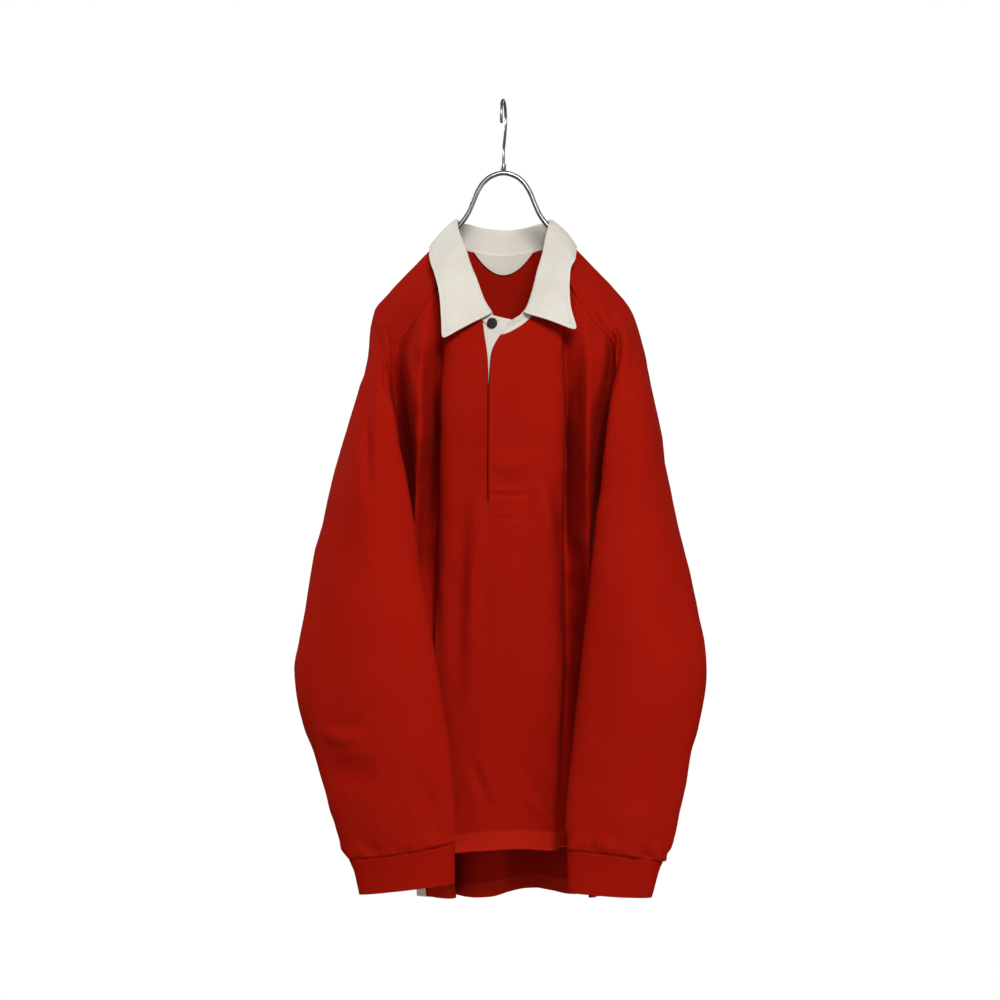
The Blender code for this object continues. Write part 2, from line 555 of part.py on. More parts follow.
def vent_tape(back, columns):
    """Tape on the inner face of the back, beside a vent, from a little below the vent's top."""
    first = BACK_DOWNS.index(VENT_TOP)
    rows = lining(back[first:], grid_normals(back)[first:], columns)
    rows[0] = [point.lerp(below, VENT_TAPE_DROP) for point, below in zip(rows[0], rows[1])]
    return rows


def columns_of(order, divisions):
    """The column of each named line in a panel's grid."""
    return {name: sum(divisions[:i]) for i, name in enumerate(order)}


def neckline(grids):
    """Points from the facing's end round the neck to the slit's over edge, and where each line meets them."""
    front = columns_of(FRONT_ORDER, FRONT_DIVISIONS)
    sleeve = columns_of(SLEEVE_ORDER, SLEEVE_DIVISIONS)
    last = sleeve["back"]
    walk = (
        ("placket_under", FACING_LINES, "end", "between"),
        ("front", front, "under", "seam_r"),
        ("sleeve_right", {name: last - column for name, column in sleeve.items()}, "front", "back"),
        ("back", columns_of(BACK_ORDER, BACK_DIVISIONS), "seam_r", "seam_l"),
        ("sleeve_left", sleeve, "back", "front"),
        ("front", front, "seam_l", "over"),
    )
    points, marks = [], {}
    for panel, columns, start, end in walk:
        names = {column: name for name, column in columns.items()}
        step = 1 if columns[end] > columns[start] else -1
        for column in range(columns[start], columns[end] + step, step):
            point = grids[panel][0][column]
            if not points or (point - points[-1]).length > SEAM_GAP:
                points.append(point)
            marks[panel, names.get(column)] = len(points) - 1
    return points, marks


STAND_ROWS = 2
ROLL_RISE = 0.0030
ROLL_WIDTH = 0.0065
FALL_SHARES = (0.0, 0.33, 0.67, 1.0)
FALL_BULGE = 0.0030


def collar_grids(grids):
    """The stand, from the neck seam up to the roll, and the fall, over it and down to its edge."""
    seam, marks = neckline(grids)
    lengths = [0.0]
    for a, b in zip(seam, seam[1:]):
        lengths.append(lengths[-1] + (b - a).length)
    knots = [lengths[marks[row.panel, row.line]] for row in COLLAR]
    curve = Curve(knots, [row.roll for row in COLLAR])
    roll = [curve.at(length) for length in lengths]
    stand = [
        [low.lerp(high, r / STAND_ROWS) for low, high in zip(seam, roll)] for r in range(STAND_ROWS + 1)
    ]
    leaf = [row for row in COLLAR if row.edge]
    first, last = (marks[row.panel, row.line] for row in (leaf[0], leaf[-1]))
    edges = Curve([lengths[marks[row.panel, row.line]] for row in leaf], [row.edge for row in leaf])
    columns = []
    for c in range(first, last + 1):
        out = Vector((0, 0, 1)).cross(roll[c + 1] - roll[c - 1]).normalized()
        rise = (roll[c] - seam[c]).normalized()
        columns.append(fall_column(roll[c], rise, out, edges.at(lengths[c])))
    return stand, [[column[i] for column in columns] for i in range(len(columns[0]))]


def fall_column(top, rise, out, end):
    """One line of the fall: up from the roll, over, and down to the free edge."""
    turned = top + rise * ROLL_RISE * 0.35 + out * ROLL_WIDTH
    column = [
        top,
        top + rise * ROLL_RISE * 0.8 + out * ROLL_WIDTH * 0.15,
        top + rise * ROLL_RISE + out * ROLL_WIDTH * 0.55,
    ]
    for share in FALL_SHARES:
        column.append(turned.lerp(end, share) + out * FALL_BULGE * math.sin(math.pi * share))
    return column


UNDERARM_ROW = UPPER_DOWNS.index(0.0)
UPRIGHT = -0.999
# Keeps the pull at a corner of the border from growing without end as the corner sharpens.
SHARPEST_CORNER = 0.5


def face_normal(a, b, c):
    return (b - a).cross(c - a)


def grid_normals(rows):
    """Area-weighted outward normals of a grid whose rows run down and columns leftwards round."""
    normals = [[Vector() for _ in row] for row in rows]
    for r in range(len(rows) - 1):
        for c in range(len(rows[0]) - 1):
            corners = ((r, c), (r + 1, c), (r + 1, c + 1), (r, c + 1))
            a, b, d, e = (rows[i][j] for i, j in corners)
            normal = face_normal(a, b, d) + face_normal(a, d, e)
            for i, j in corners:
                normals[i][j] += normal
    return normals


def rim(rows):
    """Row and column of each point on a grid's border."""
    last_row, last_column = len(rows) - 1, len(rows[0]) - 1
    return [
        (r, c)
        for r in range(last_row + 1)
        for c in range(last_column + 1)
        if r in (0, last_row) or c in (0, last_column)
    ]


def share_seam_normals(grids, normals):
    """Gives points that meet at a seam the sum of their normals."""
    places = {}
    for name, rows in grids.items():
        for r, c in rim(rows):
            key = tuple(round(value * 1e5) for value in rows[r][c])
            places.setdefault(key, []).append(normals[name][r][c])
    for meeting in places.values():
        total = sum(meeting, Vector())
        for normal in meeting:
            normal[:] = total


def stand_underarms_upright(normals):
    """Where four seams meet at an underarm, each wall narrows to an upright edge."""
    for name in ("front", "back", "sleeve_right", "sleeve_left"):
        for c in (0, -1):
            normals[name][UNDERARM_ROW][c][:] = (0.0, 0.0, -1.0)


def quads_of(rows, holes):
    return [
        (r, c) for r in range(len(rows) - 1) for c in range(len(rows[0]) - 1) if (r, c) not in holes
    ]


def corners_of(r, c):
    return (r, c), (r + 1, c), (r + 1, c + 1), (r, c + 1)


def border_of(quads):
    """Sides of the quads that no other quad shares, each with the cloth on its left."""
    sides = set()
    for r, c in quads:
        corners = corners_of(r, c)
        for start, end in zip(corners, corners[1:] + corners[:1]):
            if (end, start) in sides:
                sides.remove((end, start))
            else:
                sides.add((start, end))
    return sorted(sides)


def pulled_in(rows, normals, border, gap):
    """The grid with its border drawn back along the cloth by half the seam gap."""
    inwards = {}
    for start, end in border:
        side = rows[end[0]][end[1]] - rows[start[0]][start[1]]
        for key in (start, end):
            normal = normals[key[0]][key[1]].normalized()
            inwards.setdefault(key, []).append(normal.cross(side).normalized())
    moved = [[point.copy() for point in row] for row in rows]
    for (r, c), (first, second) in inwards.items():
        if normals[r][c].normalized().z < UPRIGHT:
            along = 1 if c == 0 else c - 1
            moved[r][c] += (rows[r][along] - rows[r][c]).normalized() * gap * 3
        else:
            moved[r][c] += (first + second) * gap / 2 / max(1 + first.dot(second), SHARPEST_CORNER)
    return moved


def add_object(name, mesh, look):
    mesh.materials.append(look)
    made = bpy.data.objects.new(name, mesh)
    bpy.context.scene.collection.objects.link(made)
    return made


def halves(corners, places):
    """A quad's two triangles, cut along its shorter diagonal."""
    a, b, c, d = corners
    if (places[0] - places[2]).length <= (places[1] - places[3]).length:
        return (a, b, c), (a, c, d)
    return (a, b, d), (b, c, d)


def cloth_solid(name, rows, normals, thickness, look, holes=()):
    """A closed wall of cloth around the grid, half its thickness to each side."""
    quads = quads_of(rows, set(holes))
    border = border_of(quads)
    moved = pulled_in(rows, normals, border, SEAM_GAP)
    mesh = bmesh.new()
    outer, inner = [
        {
            (r, c): mesh.verts.new(moved[r][c] + normals[r][c].normalized() * thickness * side)
            for r, c in sorted({key for quad in quads for key in corners_of(*quad)})
        }
        for side in (0.5, -0.5)
    ]
    for quad in quads:
        corners = corners_of(*quad)
        for half in halves(corners, [moved[r][c] for r, c in corners]):
            mesh.faces.new([outer[key] for key in half])
            mesh.faces.new([inner[key] for key in reversed(half)])
    for start, end in border:
        corners = (outer[end], outer[start], inner[start], inner[end])
        for half in halves(corners, [vertex.co for vertex in corners]):
            mesh.faces.new(half)
    made = bpy.data.meshes.new(name)
    mesh.to_mesh(made)
    mesh.free()
    return add_object(name, made, look)


def point_on(rows, normals, x, z):
    """The grid's point at this x and z, seen along Y, with its normal."""
    best = None
    for r, c in quads_of(rows, set()):
        corners = ((r, c), (r + 1, c), (r + 1, c + 1), (r, c + 1))
        for half in ((0, 1, 2), (0, 2, 3)):
            keys = [corners[k] for k in half]
            a, b, d = (rows[i][j] for i, j in keys)
            area = (b.x - a.x) * (d.z - a.z) - (d.x - a.x) * (b.z - a.z)
            if abs(area) < 1e-12:
                continue
            s = ((x - a.x) * (d.z - a.z) - (d.x - a.x) * (z - a.z)) / area
            t = ((b.x - a.x) * (z - a.z) - (x - a.x) * (b.z - a.z)) / area
            miss = max(-s, -t, s + t - 1, 0.0)
            if best is None or miss < best[0]:
                point = a + (b - a) * s + (d - a) * t
                tilt = sum((normals[i][j].normalized() for i, j in keys), Vector())
                best = (miss, point, tilt.normalized())
    return best[1], best[2]


def neck_patch(grids, normals, look):
    """The half moon under the back of the neck, on the back panel's inner face."""
    depth = (JERSEY + TWILL) / 2 + LINING_GAP
    columns, rows = 12, 3
    top = BACK_NECK_Z.spine + NECK_PATCH_RISE
    made = []
    for r in range(rows + 1):
        row = []
        for c in range(columns + 1):
            across = 1 - 2 * c / columns
            drop = NECK_PATCH_DEPTH * (0.08 + 0.92 * (1 - across**2)) * r / rows
            x = NECK_PATCH_HALF_WIDTH * across
            start = top + 0.0045 * across**2
            point, tilt = point_on(grids["back"], normals["back"], x, start - drop)
            row.append(point - tilt * depth)
        made.append(row)
    return cloth_solid("neck_patch", made, grid_normals(made), TWILL, look)


def ring(mesh, centre, across, up, radius, sides):
    """A ring of points around centre, in the plane of across and up."""
    return [
        mesh.verts.new(
            centre
            + across * radius * math.cos(2 * math.pi * k / sides)
            + up * radius * math.sin(2 * math.pi * k / sides)
        )
        for k in range(sides)
    ]


def bridge(mesh, first, second):
    for k in range(len(first)):
        following = (k + 1) % len(first)
        mesh.faces.new((first[k], first[following], second[following], second[k]))


def turned_solid(name, profile, base, axis, sides, look):
    """A solid turned about axis through base. The profile is radius and height, bottom to top."""
    across = axis.orthogonal().normalized()
    up = axis.cross(across).normalized()
    mesh = bmesh.new()
    rings = [ring(mesh, base + axis * h, across, up, radius, sides) for radius, h in profile]
    for first, second in zip(rings, rings[1:]):
        bridge(mesh, first, second)
    mesh.faces.new(rings[0][::-1])
    mesh.faces.new(rings[-1])
    made = bpy.data.meshes.new(name)
    mesh.to_mesh(made)
    mesh.free()
    return add_object(name, made, look)


def rod(name, path, radius, sides, look, tip=0.45):
    """A round rod along a path, with its two ends drawn in."""
    mesh = bmesh.new()
    rings = []
    side = Vector((0.0, 1.0, 0.0))
    for i, centre in enumerate(path):
        ahead = path[min(i + 1, len(path) - 1)] - path[max(i - 1, 0)]
        ahead.normalize()
        side = (side - ahead * side.dot(ahead)).normalized()
        size = radius * tip if i in (0, len(path) - 1) else radius
        rings.append(ring(mesh, centre, side, ahead.cross(side), size, sides))
    for first, second in zip(rings, rings[1:]):
        bridge(mesh, first, second)
    mesh.faces.new(rings[0][::-1])
    mesh.faces.new(rings[-1])
    made = bpy.data.meshes.new(name)
    mesh.to_mesh(made)
    mesh.free()
    return add_object(name, made, look)


def evenly(points, count):
    """Points evenly spaced along the smooth curve through the given ones."""
    knots = [0.0]
    for a, b in zip(points, points[1:]):
        knots.append(knots[-1] + (b - a).length)
    curve = Curve(knots, points)
    return [curve.at(knots[-1] * k / (count - 1)) for k in range(count)]


def hanger(look):
    half = [Vector((x, 0.0, z)) for x, z in WIRE_ARCH]
    whole = [Vector((-p.x, 0.0, p.z)) for p in reversed(half[1:])] + half
    path = evenly(whole, 49)
    ends = [path[0] + (path[0] - path[1]).normalized() * 0.0015]
    far = [path[-1] + (path[-1] - path[-2]).normalized() * 0.0015]
    rod("hanger_wire", ends + path + far, WIRE_RADIUS, ROD_SIDES, look)
    arch_top = WIRE_ARCH[0][1] + WIRE_RADIUS
    base = Vector((0.0, 0.0, arch_top + SEAM_GAP))
    profile = (
        (FERRULE_RADIUS, 0.0),
        (FERRULE_RADIUS, FERRULE_LENGTH * 0.6),
        (FERRULE_RADIUS * 0.7, FERRULE_LENGTH),
    )
    turned_solid("hanger_ferrule", profile, base, Vector((0, 0, 1)), 12, look)
    hook(base.z + FERRULE_LENGTH + SEAM_GAP, look)


def hook(bottom, look):
    """The hook: a stem that leans back, then a round over the rail and a turned-up end."""
    radius = HOOK_INNER_RADIUS + HOOK_RADIUS
    centre_z = HOOK_RADIUS - radius
    flat = [Vector((0.0, 0.0, bottom))]
    flat += [Vector((0.0, y, z)) for y, z in STEM]
    for k in range(9):
        angle = math.radians(-5 + 27 * k)
        flat.append(Vector((0.0, radius * math.cos(angle), centre_z + radius * math.sin(angle))))
    turned = [
        Vector((-p.y * math.sin(-HOOK_TURN), p.y * math.cos(HOOK_TURN), p.z)) for p in flat
    ]
    path = evenly(turned, 34)
    rod("hanger_hook", path, HOOK_RADIUS, ROD_SIDES, look, tip=0.6)


def button(stand, normals, look):
    """A dished button on the stand's under end. Its rim stands above its middle."""
    point, axis = point_on(stand, normals, BUTTON_X, BUTTON_Z)
    base = point + axis * (TWILL / 2 + BUTTON_LIFT)
    profile = (
        (BUTTON_RADIUS * 0.80, 0.0),
        (BUTTON_RADIUS, BUTTON_THICKNESS * 0.35),
        (BUTTON_RADIUS, BUTTON_THICKNESS * 0.75),
        (BUTTON_RADIUS * 0.86, BUTTON_THICKNESS),
        (BUTTON_RADIUS * 0.62, BUTTON_THICKNESS - BUTTON_DISH),
    )
    turned_solid("button_collar", profile, base, axis, BUTTON_SIDES, look)


def main():
    clear_scene()
    jersey = material("red jersey", RED, 0.85)
    twill = material("white twill", WHITE, 0.80)
    rubber = material("dark rubber", RUBBER, 0.55)
    chrome = material("chrome", CHROME, 0.12, 1.0)

    grids = all_grids()
    panel_normals = grid_normals(grids["front"])
    grids["placket_under"] = facing_grid(grids["front"], panel_normals)
    grids["collar_stand"], grids["collar_fall"] = collar_grids(grids)
    normals = {name: grid_normals(rows) for name, rows in grids.items()}
    share_seam_normals(grids, normals)
    stand_underarms_upright(normals)

    slit = [(r, SLIT_COLUMN) for r in range(UNDERARM_ROW)]
    cloth_solid("front", grids["front"], normals["front"], JERSEY, jersey, holes=slit)
    for name in ("back", "sleeve_right", "sleeve_left"):
        cloth_solid(name, grids[name], normals[name], JERSEY, jersey)
    for name in ("cuff_right", "cuff_left"):
        cloth_solid(name, grids[name], normals[name], CUFF_WALL, jersey)
    for name in ("collar_stand", "collar_fall", "placket_under"):
        cloth_solid(name, grids[name], normals[name], TWILL, twill)
    neck_patch(grids, normals, twill)
    for name, columns in VENT_TAPE_COLUMNS.items():
        tape = vent_tape(grids["back"], columns)
        cloth_solid(name, tape, grid_normals(tape), TWILL, twill)
    button(grids["collar_stand"], normals["collar_stand"], rubber)
    hanger(chrome)


main()
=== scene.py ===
# %% [markdown]
# # A rugby shirt on a wire hanger
# This lesson dresses a plain solid model of a shirt, so that it looks like cotton jersey, twill and chrome.
# The solids come in first, as a frame that nothing here moves. Each piece of cloth is then made on top of
# its own solid, so it stays where the solid is. Blender starts with a cube, a lamp and a camera, which go.
# %% The frame
import bpy
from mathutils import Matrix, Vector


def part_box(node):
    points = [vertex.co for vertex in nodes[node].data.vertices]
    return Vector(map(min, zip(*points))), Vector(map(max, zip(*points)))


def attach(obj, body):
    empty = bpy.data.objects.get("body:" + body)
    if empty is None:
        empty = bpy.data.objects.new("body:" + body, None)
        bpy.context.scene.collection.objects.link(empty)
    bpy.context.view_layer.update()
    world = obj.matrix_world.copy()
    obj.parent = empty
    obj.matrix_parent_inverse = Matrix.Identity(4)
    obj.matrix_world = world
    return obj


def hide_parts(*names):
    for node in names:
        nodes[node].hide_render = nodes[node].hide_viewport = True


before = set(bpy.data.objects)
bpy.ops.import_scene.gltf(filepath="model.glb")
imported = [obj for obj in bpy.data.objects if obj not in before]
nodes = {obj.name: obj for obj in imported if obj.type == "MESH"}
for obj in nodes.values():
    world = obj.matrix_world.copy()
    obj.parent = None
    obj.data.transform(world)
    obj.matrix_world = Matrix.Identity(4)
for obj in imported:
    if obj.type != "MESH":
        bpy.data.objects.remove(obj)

for startup in ("Cube", "Light", "Camera"):
    if startup in bpy.data.objects:
        bpy.data.objects.remove(bpy.data.objects[startup])
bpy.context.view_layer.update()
print("solids:", ", ".join(sorted(nodes)))

# %% [markdown]
# Most of Blender's operators act on whatever is selected, and the solids are still selected after loading.
# So these helpers clear the selection first. `numpy` moves many points of a mesh at once, `bmesh` edits a
# mesh in code, and a `KDTree` finds the nearest of many points.
# %% Modules and small helpers
import math
from collections import namedtuple

import bmesh
import numpy as np
from mathutils import Matrix, Vector, noise
from mathutils.kdtree import KDTree


def deselect_all():
    """Object mode, with nothing selected, so that an operator acts only on what is chosen next."""
    if bpy.context.mode != "OBJECT":
        bpy.ops.object.mode_set(mode="OBJECT")
    bpy.ops.object.select_all(action="DESELECT")


def choose(*objects):
    deselect_all()
    for obj in objects:
        obj.select_set(True)
    bpy.context.view_layer.objects.active = objects[0]


def apply_modifier(obj, kind, **settings):
    """Adds a modifier, sets it and applies it."""
    modifier = obj.modifiers.new(kind.title(), kind)
    for name, value in settings.items():
        setattr(modifier, name, value)
    choose(obj)
    bpy.ops.object.modifier_apply(modifier=modifier.name)


def vectors_of(vertices, field, size=3):
    flat = np.empty(len(vertices) * size, np.float32)
    vertices.foreach_get(field, flat)
    return flat.reshape(-1, size).astype(float)


def points_of(obj):
    return vectors_of(obj.data.vertices, "co")


def normals_of(obj):
    return vectors_of(obj.data.vertices, "normal")


def put_points(obj, points):
    obj.data.vertices.foreach_set("co", points.astype(np.float32).ravel())
    obj.data.update()


def ramp(values, length):
    """From 0 to 1 over this length."""
    return np.clip(values / length, 0, 1)


# %% [markdown]
# ## The cloth sheets
# Each solid is a wall of cloth: an outer face, an inner face and a narrow rim between them. A sheet that
# can be creased has one face only. So a copy of the solid is merged, its rim goes, and of the two faces
# that are left the outer one stays. A solid is all triangles, and a subdivision surface is smoother on
# quads, so the triangles are paired. A quad's cut is nearly always the longest side of both its triangles.
# %% Pairing triangles to quads
def other_side(edge, face):
    return next(near for near in edge.link_faces if near is not face)


def length_share(edge):
    others = [side for face in edge.link_faces for side in face.edges if side is not edge]
    return edge.calc_length() / max(side.calc_length() for side in others)


def pair_up(lone, cut):
    """Gives a lone triangle a partner by changing the partners of those between it and another lone one."""
    came_from, queue = {lone: None}, [lone]
    for face in queue:
        for edge in (side for side in face.edges if len(side.link_faces) == 2):
            near = other_side(edge, face)
            if near not in cut and near is not lone:
                while edge:
                    cut[near], cut[face] = edge, edge
                    edge, near, face = came_from[face] or (None, None, None)
                return
            mate = other_side(cut[near], near) if near in cut else None
            if mate and mate not in came_from:
                came_from[mate] = (edge, near, face)
                queue.append(mate)


def cuts_of_quads(mesh):
    inner = [edge for edge in mesh.edges if len(edge.link_faces) == 2]
    cut = {}
    for edge in sorted(inner, key=length_share, reverse=True):
        if not any(face in cut for face in edge.link_faces):
            cut.update({face: edge for face in edge.link_faces})
    for face in mesh.faces:
        if face not in cut:
            pair_up(face, cut)
    return list(dict.fromkeys(cut.values()))  # in a fixed order, so that each run gives the same mesh


# %% Taking one face of a wall
JERSEY = 0.002
TWILL = 0.0016
CUFF_WALL = 0.0026
WELD = 1e-5
RIM_ERROR = 1e-6  # an edge across the rim is exactly as long as its wall is thick


def islands(mesh):
    """The faces of a bmesh in connected groups."""
    left = set(mesh.faces)
    while left:
        group = [left.pop()]
        for face in group:
            near = {other for edge in face.edges for other in edge.link_faces} & left
            left -= near
            group += near
        yield group


def one_face(name, wall, centre, inner=False):
    """A new object with the face of this node's wall that looks away from the centre, or towards it."""
    mesh = bmesh.new()
    mesh.from_mesh(nodes[name].data)
    bmesh.ops.remove_doubles(mesh, verts=mesh.verts, dist=WELD)
    across = [edge for edge in mesh.edges if abs(edge.calc_length() - wall) < RIM_ERROR]
    rim = {face for edge in across for face in edge.link_faces}
    bmesh.ops.delete(mesh, geom=list(rim), context="FACES")

    def outwards(group):
        return sum((face.calc_center_median() - centre).dot(face.normal) * face.calc_area() for face in group)

    groups = sorted(islands(mesh), key=outwards, reverse=inner)
    bmesh.ops.delete(mesh, geom=[face for group in groups[:-1] for face in group], context="FACES")
    bmesh.ops.dissolve_edges(mesh, edges=cuts_of_quads(mesh))
    data = bpy.data.meshes.new(name)
    mesh.to_mesh(data)
    mesh.free()
    made = bpy.data.objects.new("cloth_" + name, data)
    bpy.context.scene.collection.objects.link(made)
    data.materials.append(bpy.data.materials.new("panel_" + name))
    odd = sum(len(polygon.vertices) != 4 for polygon in data.polygons)
    print(f"{name}: {len(data.polygons)} faces, {odd} of them triangles, {len(groups)} sides found")
    return made


# %% [markdown]
# A cut panel is flat before it is sewn. Unwrapping lays the sheet flat again, which gives its pattern: here
# U runs across the panel and V up it, both in metres. Stitches, hems and the knit are later placed by the
# pattern, so they follow the cloth round each fold.
# %% Laying each panel flat
def lay_flat(obj):
    """Unwraps the sheet into a map in metres, with V along the height."""
    choose(obj)
    bpy.ops.object.mode_set(mode="EDIT")
    bpy.ops.mesh.select_all(action="SELECT")
    bpy.ops.uv.unwrap(method="MINIMUM_STRETCH", iterations=40, margin=0.0)
    bpy.ops.object.mode_set(mode="OBJECT")
    mesh = obj.data
    layer = mesh.uv_layers.active
    layer.name = "pattern"
    flat = vectors_of(layer.uv, "vector", 2)
    points = points_of(obj)
    corners = np.array([loop.vertex_index for loop in mesh.loops])
    table = np.column_stack([flat, np.ones(len(flat))])
    up = np.linalg.lstsq(table, points[corners, 2], rcond=None)[0][:2]
    up /= np.linalg.norm(up)
    flat = np.column_stack([flat @ (up[1], -up[0]), flat @ up])
    area = 0.0
    for polygon in mesh.polygons:
        corner = flat[list(polygon.loop_indices)]
        turned = np.roll(corner, -1, axis=0)
        area += abs((corner[:, 0] * turned[:, 1] - corner[:, 1] * turned[:, 0]).sum()) / 2
    flat *= math.sqrt(sum(polygon.area for polygon in mesh.polygons) / area)
    flat -= (flat.min(0) + flat.max(0)) / 2
    layer.uv.foreach_set("vector", flat.astype(np.float32).ravel())
    size = flat.max(0) - flat.min(0)
    area = sum(polygon.area for polygon in mesh.polygons)
    print(f"{obj.name}: flat {size[0]:.3f} by {size[1]:.3f} m, {area:.3f} square metres")


# %% The six red panels
BODY_CENTRE = Vector((0.0, 0.0, -0.55))
RED_WALLS = {"front": JERSEY, "back": JERSEY, "sleeve_right": JERSEY, "sleeve_left": JERSEY,
             "cuff_right": CUFF_WALL, "cuff_left": CUFF_WALL}


def middle_of(name):
    low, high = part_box(name)
    return (low + high) / 2


red_panels = [
    one_face(name, wall, BODY_CENTRE if name in ("front", "back") else middle_of(name))
    for name, wall in RED_WALLS.items()
]
for panel in red_panels:
    lay_flat(panel)

# %% [markdown]
# A shirt is sewn from its panels, and the cloth runs on smoothly across each seam. So the six sheets become
# one mesh while they are shaped: a point on one panel's edge is welded to the points of the other panels
# beside it. Each panel keeps its own material slot, which later takes the pieces apart again.
# %% Sewing panels together
SEAM_REACH = 0.0022


def slots_of(vertex):
    return {face.material_index for face in vertex.link_faces}


def sew(obj, rolled=()):
    """Welds edge points of different panels, and the two long edges of a panel that is rolled up."""
    rolled = {number for number, slot in enumerate(obj.material_slots) if slot.name in rolled}
    mesh = bmesh.new()
    mesh.from_mesh(obj.data)
    ends = [vertex for vertex in mesh.verts if vertex.is_boundary]
    tree = KDTree(len(ends))
    for number, vertex in enumerate(ends):
        tree.insert(vertex.co, number)
    tree.balance()
    targets = {}
    for vertex in ends:
        if vertex in targets:
            continue
        near = [ends[number] for _, number, _ in tree.find_range(vertex.co, SEAM_REACH)]
        mine = slots_of(vertex)
        near = [other for other in near if other is not vertex and other not in targets
                and (slots_of(other) != mine or mine <= rolled)]
        group = [vertex] + near
        vertex.co = sum((other.co for other in group), Vector()) / len(group)
        targets.update({other: vertex for other in group})
    welds = {other: target for other, target in targets.items() if other is not target}
    bmesh.ops.weld_verts(mesh, targetmap=welds)
    mesh.to_mesh(obj.data)
    mesh.free()
    obj.data.update()
    return len(welds)


choose(*red_panels)
bpy.ops.object.join()
garment = bpy.context.object
garment.name = "garment"
TUBES = ("sleeve_right", "sleeve_left", "cuff_right", "cuff_left")
print("welded", sew(garment, ["panel_" + name for name in TUBES]), "points along the seams")
apply_modifier(garment, "SUBSURF", levels=3, render_levels=3, boundary_smooth="PRESERVE_CORNERS")
print("the garment has", len(garment.data.vertices), "points")

# %% [markdown]
# ## Creases
# Heavy jersey hangs in broad soft folds, which the solids already have, and in small creases where it is
# pulled or has been folded. Each crease is a trough with a low ridge on each side. It is given as a short
# path on the view that shows it, with a depth and a half width, and fades at both ends. A fold is drawn
# in the same way, but moves its panel straight along the view and has no ridges. A little slow noise makes
# each one uneven, and wider noise over the whole cloth takes away the last of its evenness.
# %% Drawing creases
VIEWS = {  # across, up and outwards of each view
    "front": ((1, 0, 0), (0, 0, 1), (0, -1, 0)),
    "back": ((-1, 0, 0), (0, 0, 1), (0, 1, 0)),
    "left": ((0, 1, 0), (0, 0, 1), (1, 0, 0)),
    "right": ((0, -1, 0), (0, 0, 1), (-1, 0, 0)),
}
Crease = namedtuple("Crease", "view panels depth width path fold")
RIDGE, RIDGE_AT, RIDGE_WIDTH = 0.42, 1.55, 0.8  # height in depths, place and width in half widths
UNEVEN, UNEVEN_WAVE = 0.35, 0.035


def wander(points, size, seed):
    """Slow noise from -1 to 1 at each point, with waves of about this size."""
    shift = Vector((seed * 7.3, seed * 3.1, seed * 5.7))
    return np.array([noise.noise(Vector(point) / size + shift) for point in points])


def distance_to(path, flat):
    """Distance of each flat point from the path, and how far along the path it lies, from 0 to 1."""
    path = np.array(path, float)
    lengths = np.linalg.norm(np.diff(path, axis=0), axis=1)
    starts = np.concatenate([[0.0], np.cumsum(lengths)])
    best, along = np.full(len(flat), 1e9), np.zeros(len(flat))
    for number, (a, b) in enumerate(zip(path, path[1:])):
        share = np.clip((flat - a) @ (b - a) / lengths[number] ** 2, 0, 1)
        away = np.linalg.norm(flat - a - share[:, None] * (b - a), axis=1)
        nearer = away < best
        best[nearer] = away[nearer]
        along[nearer] = ((starts[number] + share * lengths[number]) / starts[-1])[nearer]
    return best, along


def press(points, normals, on_panel, crease, seed):
    """How the crease moves each point: along its normal, or for a fold straight along the view."""
    across, up, out = (np.array(axis, float) for axis in VIEWS[crease.view])
    flat = np.column_stack([points @ across, points @ up])
    facing = np.ones(len(points)) if crease.fold else np.clip((normals @ out) * 2.0 - 0.1, 0, 1)
    path = np.array(crease.path)
    reach = crease.width * 3.2
    near = on_panel & (facing > 0)
    near &= ((flat > path.min(0) - reach) & (flat < path.max(0) + reach)).all(1)
    moved = np.zeros((len(points), 3))
    if not near.any():
        return moved
    away, along = distance_to(crease.path, flat[near])
    uneven = 1 + UNEVEN * wander(points[near], UNEVEN_WAVE, seed)
    share = away / (crease.width * uneven)
    trough = -np.exp(-share**2)
    if not crease.fold:
        trough += RIDGE * np.exp(-((share - RIDGE_AT) / RIDGE_WIDTH) ** 2)
    fade = np.sin(np.pi * np.clip(along, 0.02, 0.98)) ** 0.75
    lengths = crease.depth * trough * fade * facing[near] * uneven
    moved[near] = lengths[:, None] * (out if crease.fold else normals[near])
    return moved


# %% [markdown]
# Where a shirt creases depends on how it was worn, washed and hung, so no formula gives the places: these
# paths are drawn one by one. The deep folds beside the body come from the solids, and are made deeper here.
# %% The creases of this shirt
def creases(view, panels, rows, fold=False):
    """Rows of depth, half width and then the path across and up the view, all in millimetres."""
    metres = [[np.array(value) / 1000 for value in row] for row in rows]
    return [Crease(view, panels, depth, width, path, fold) for depth, width, *path in metres]


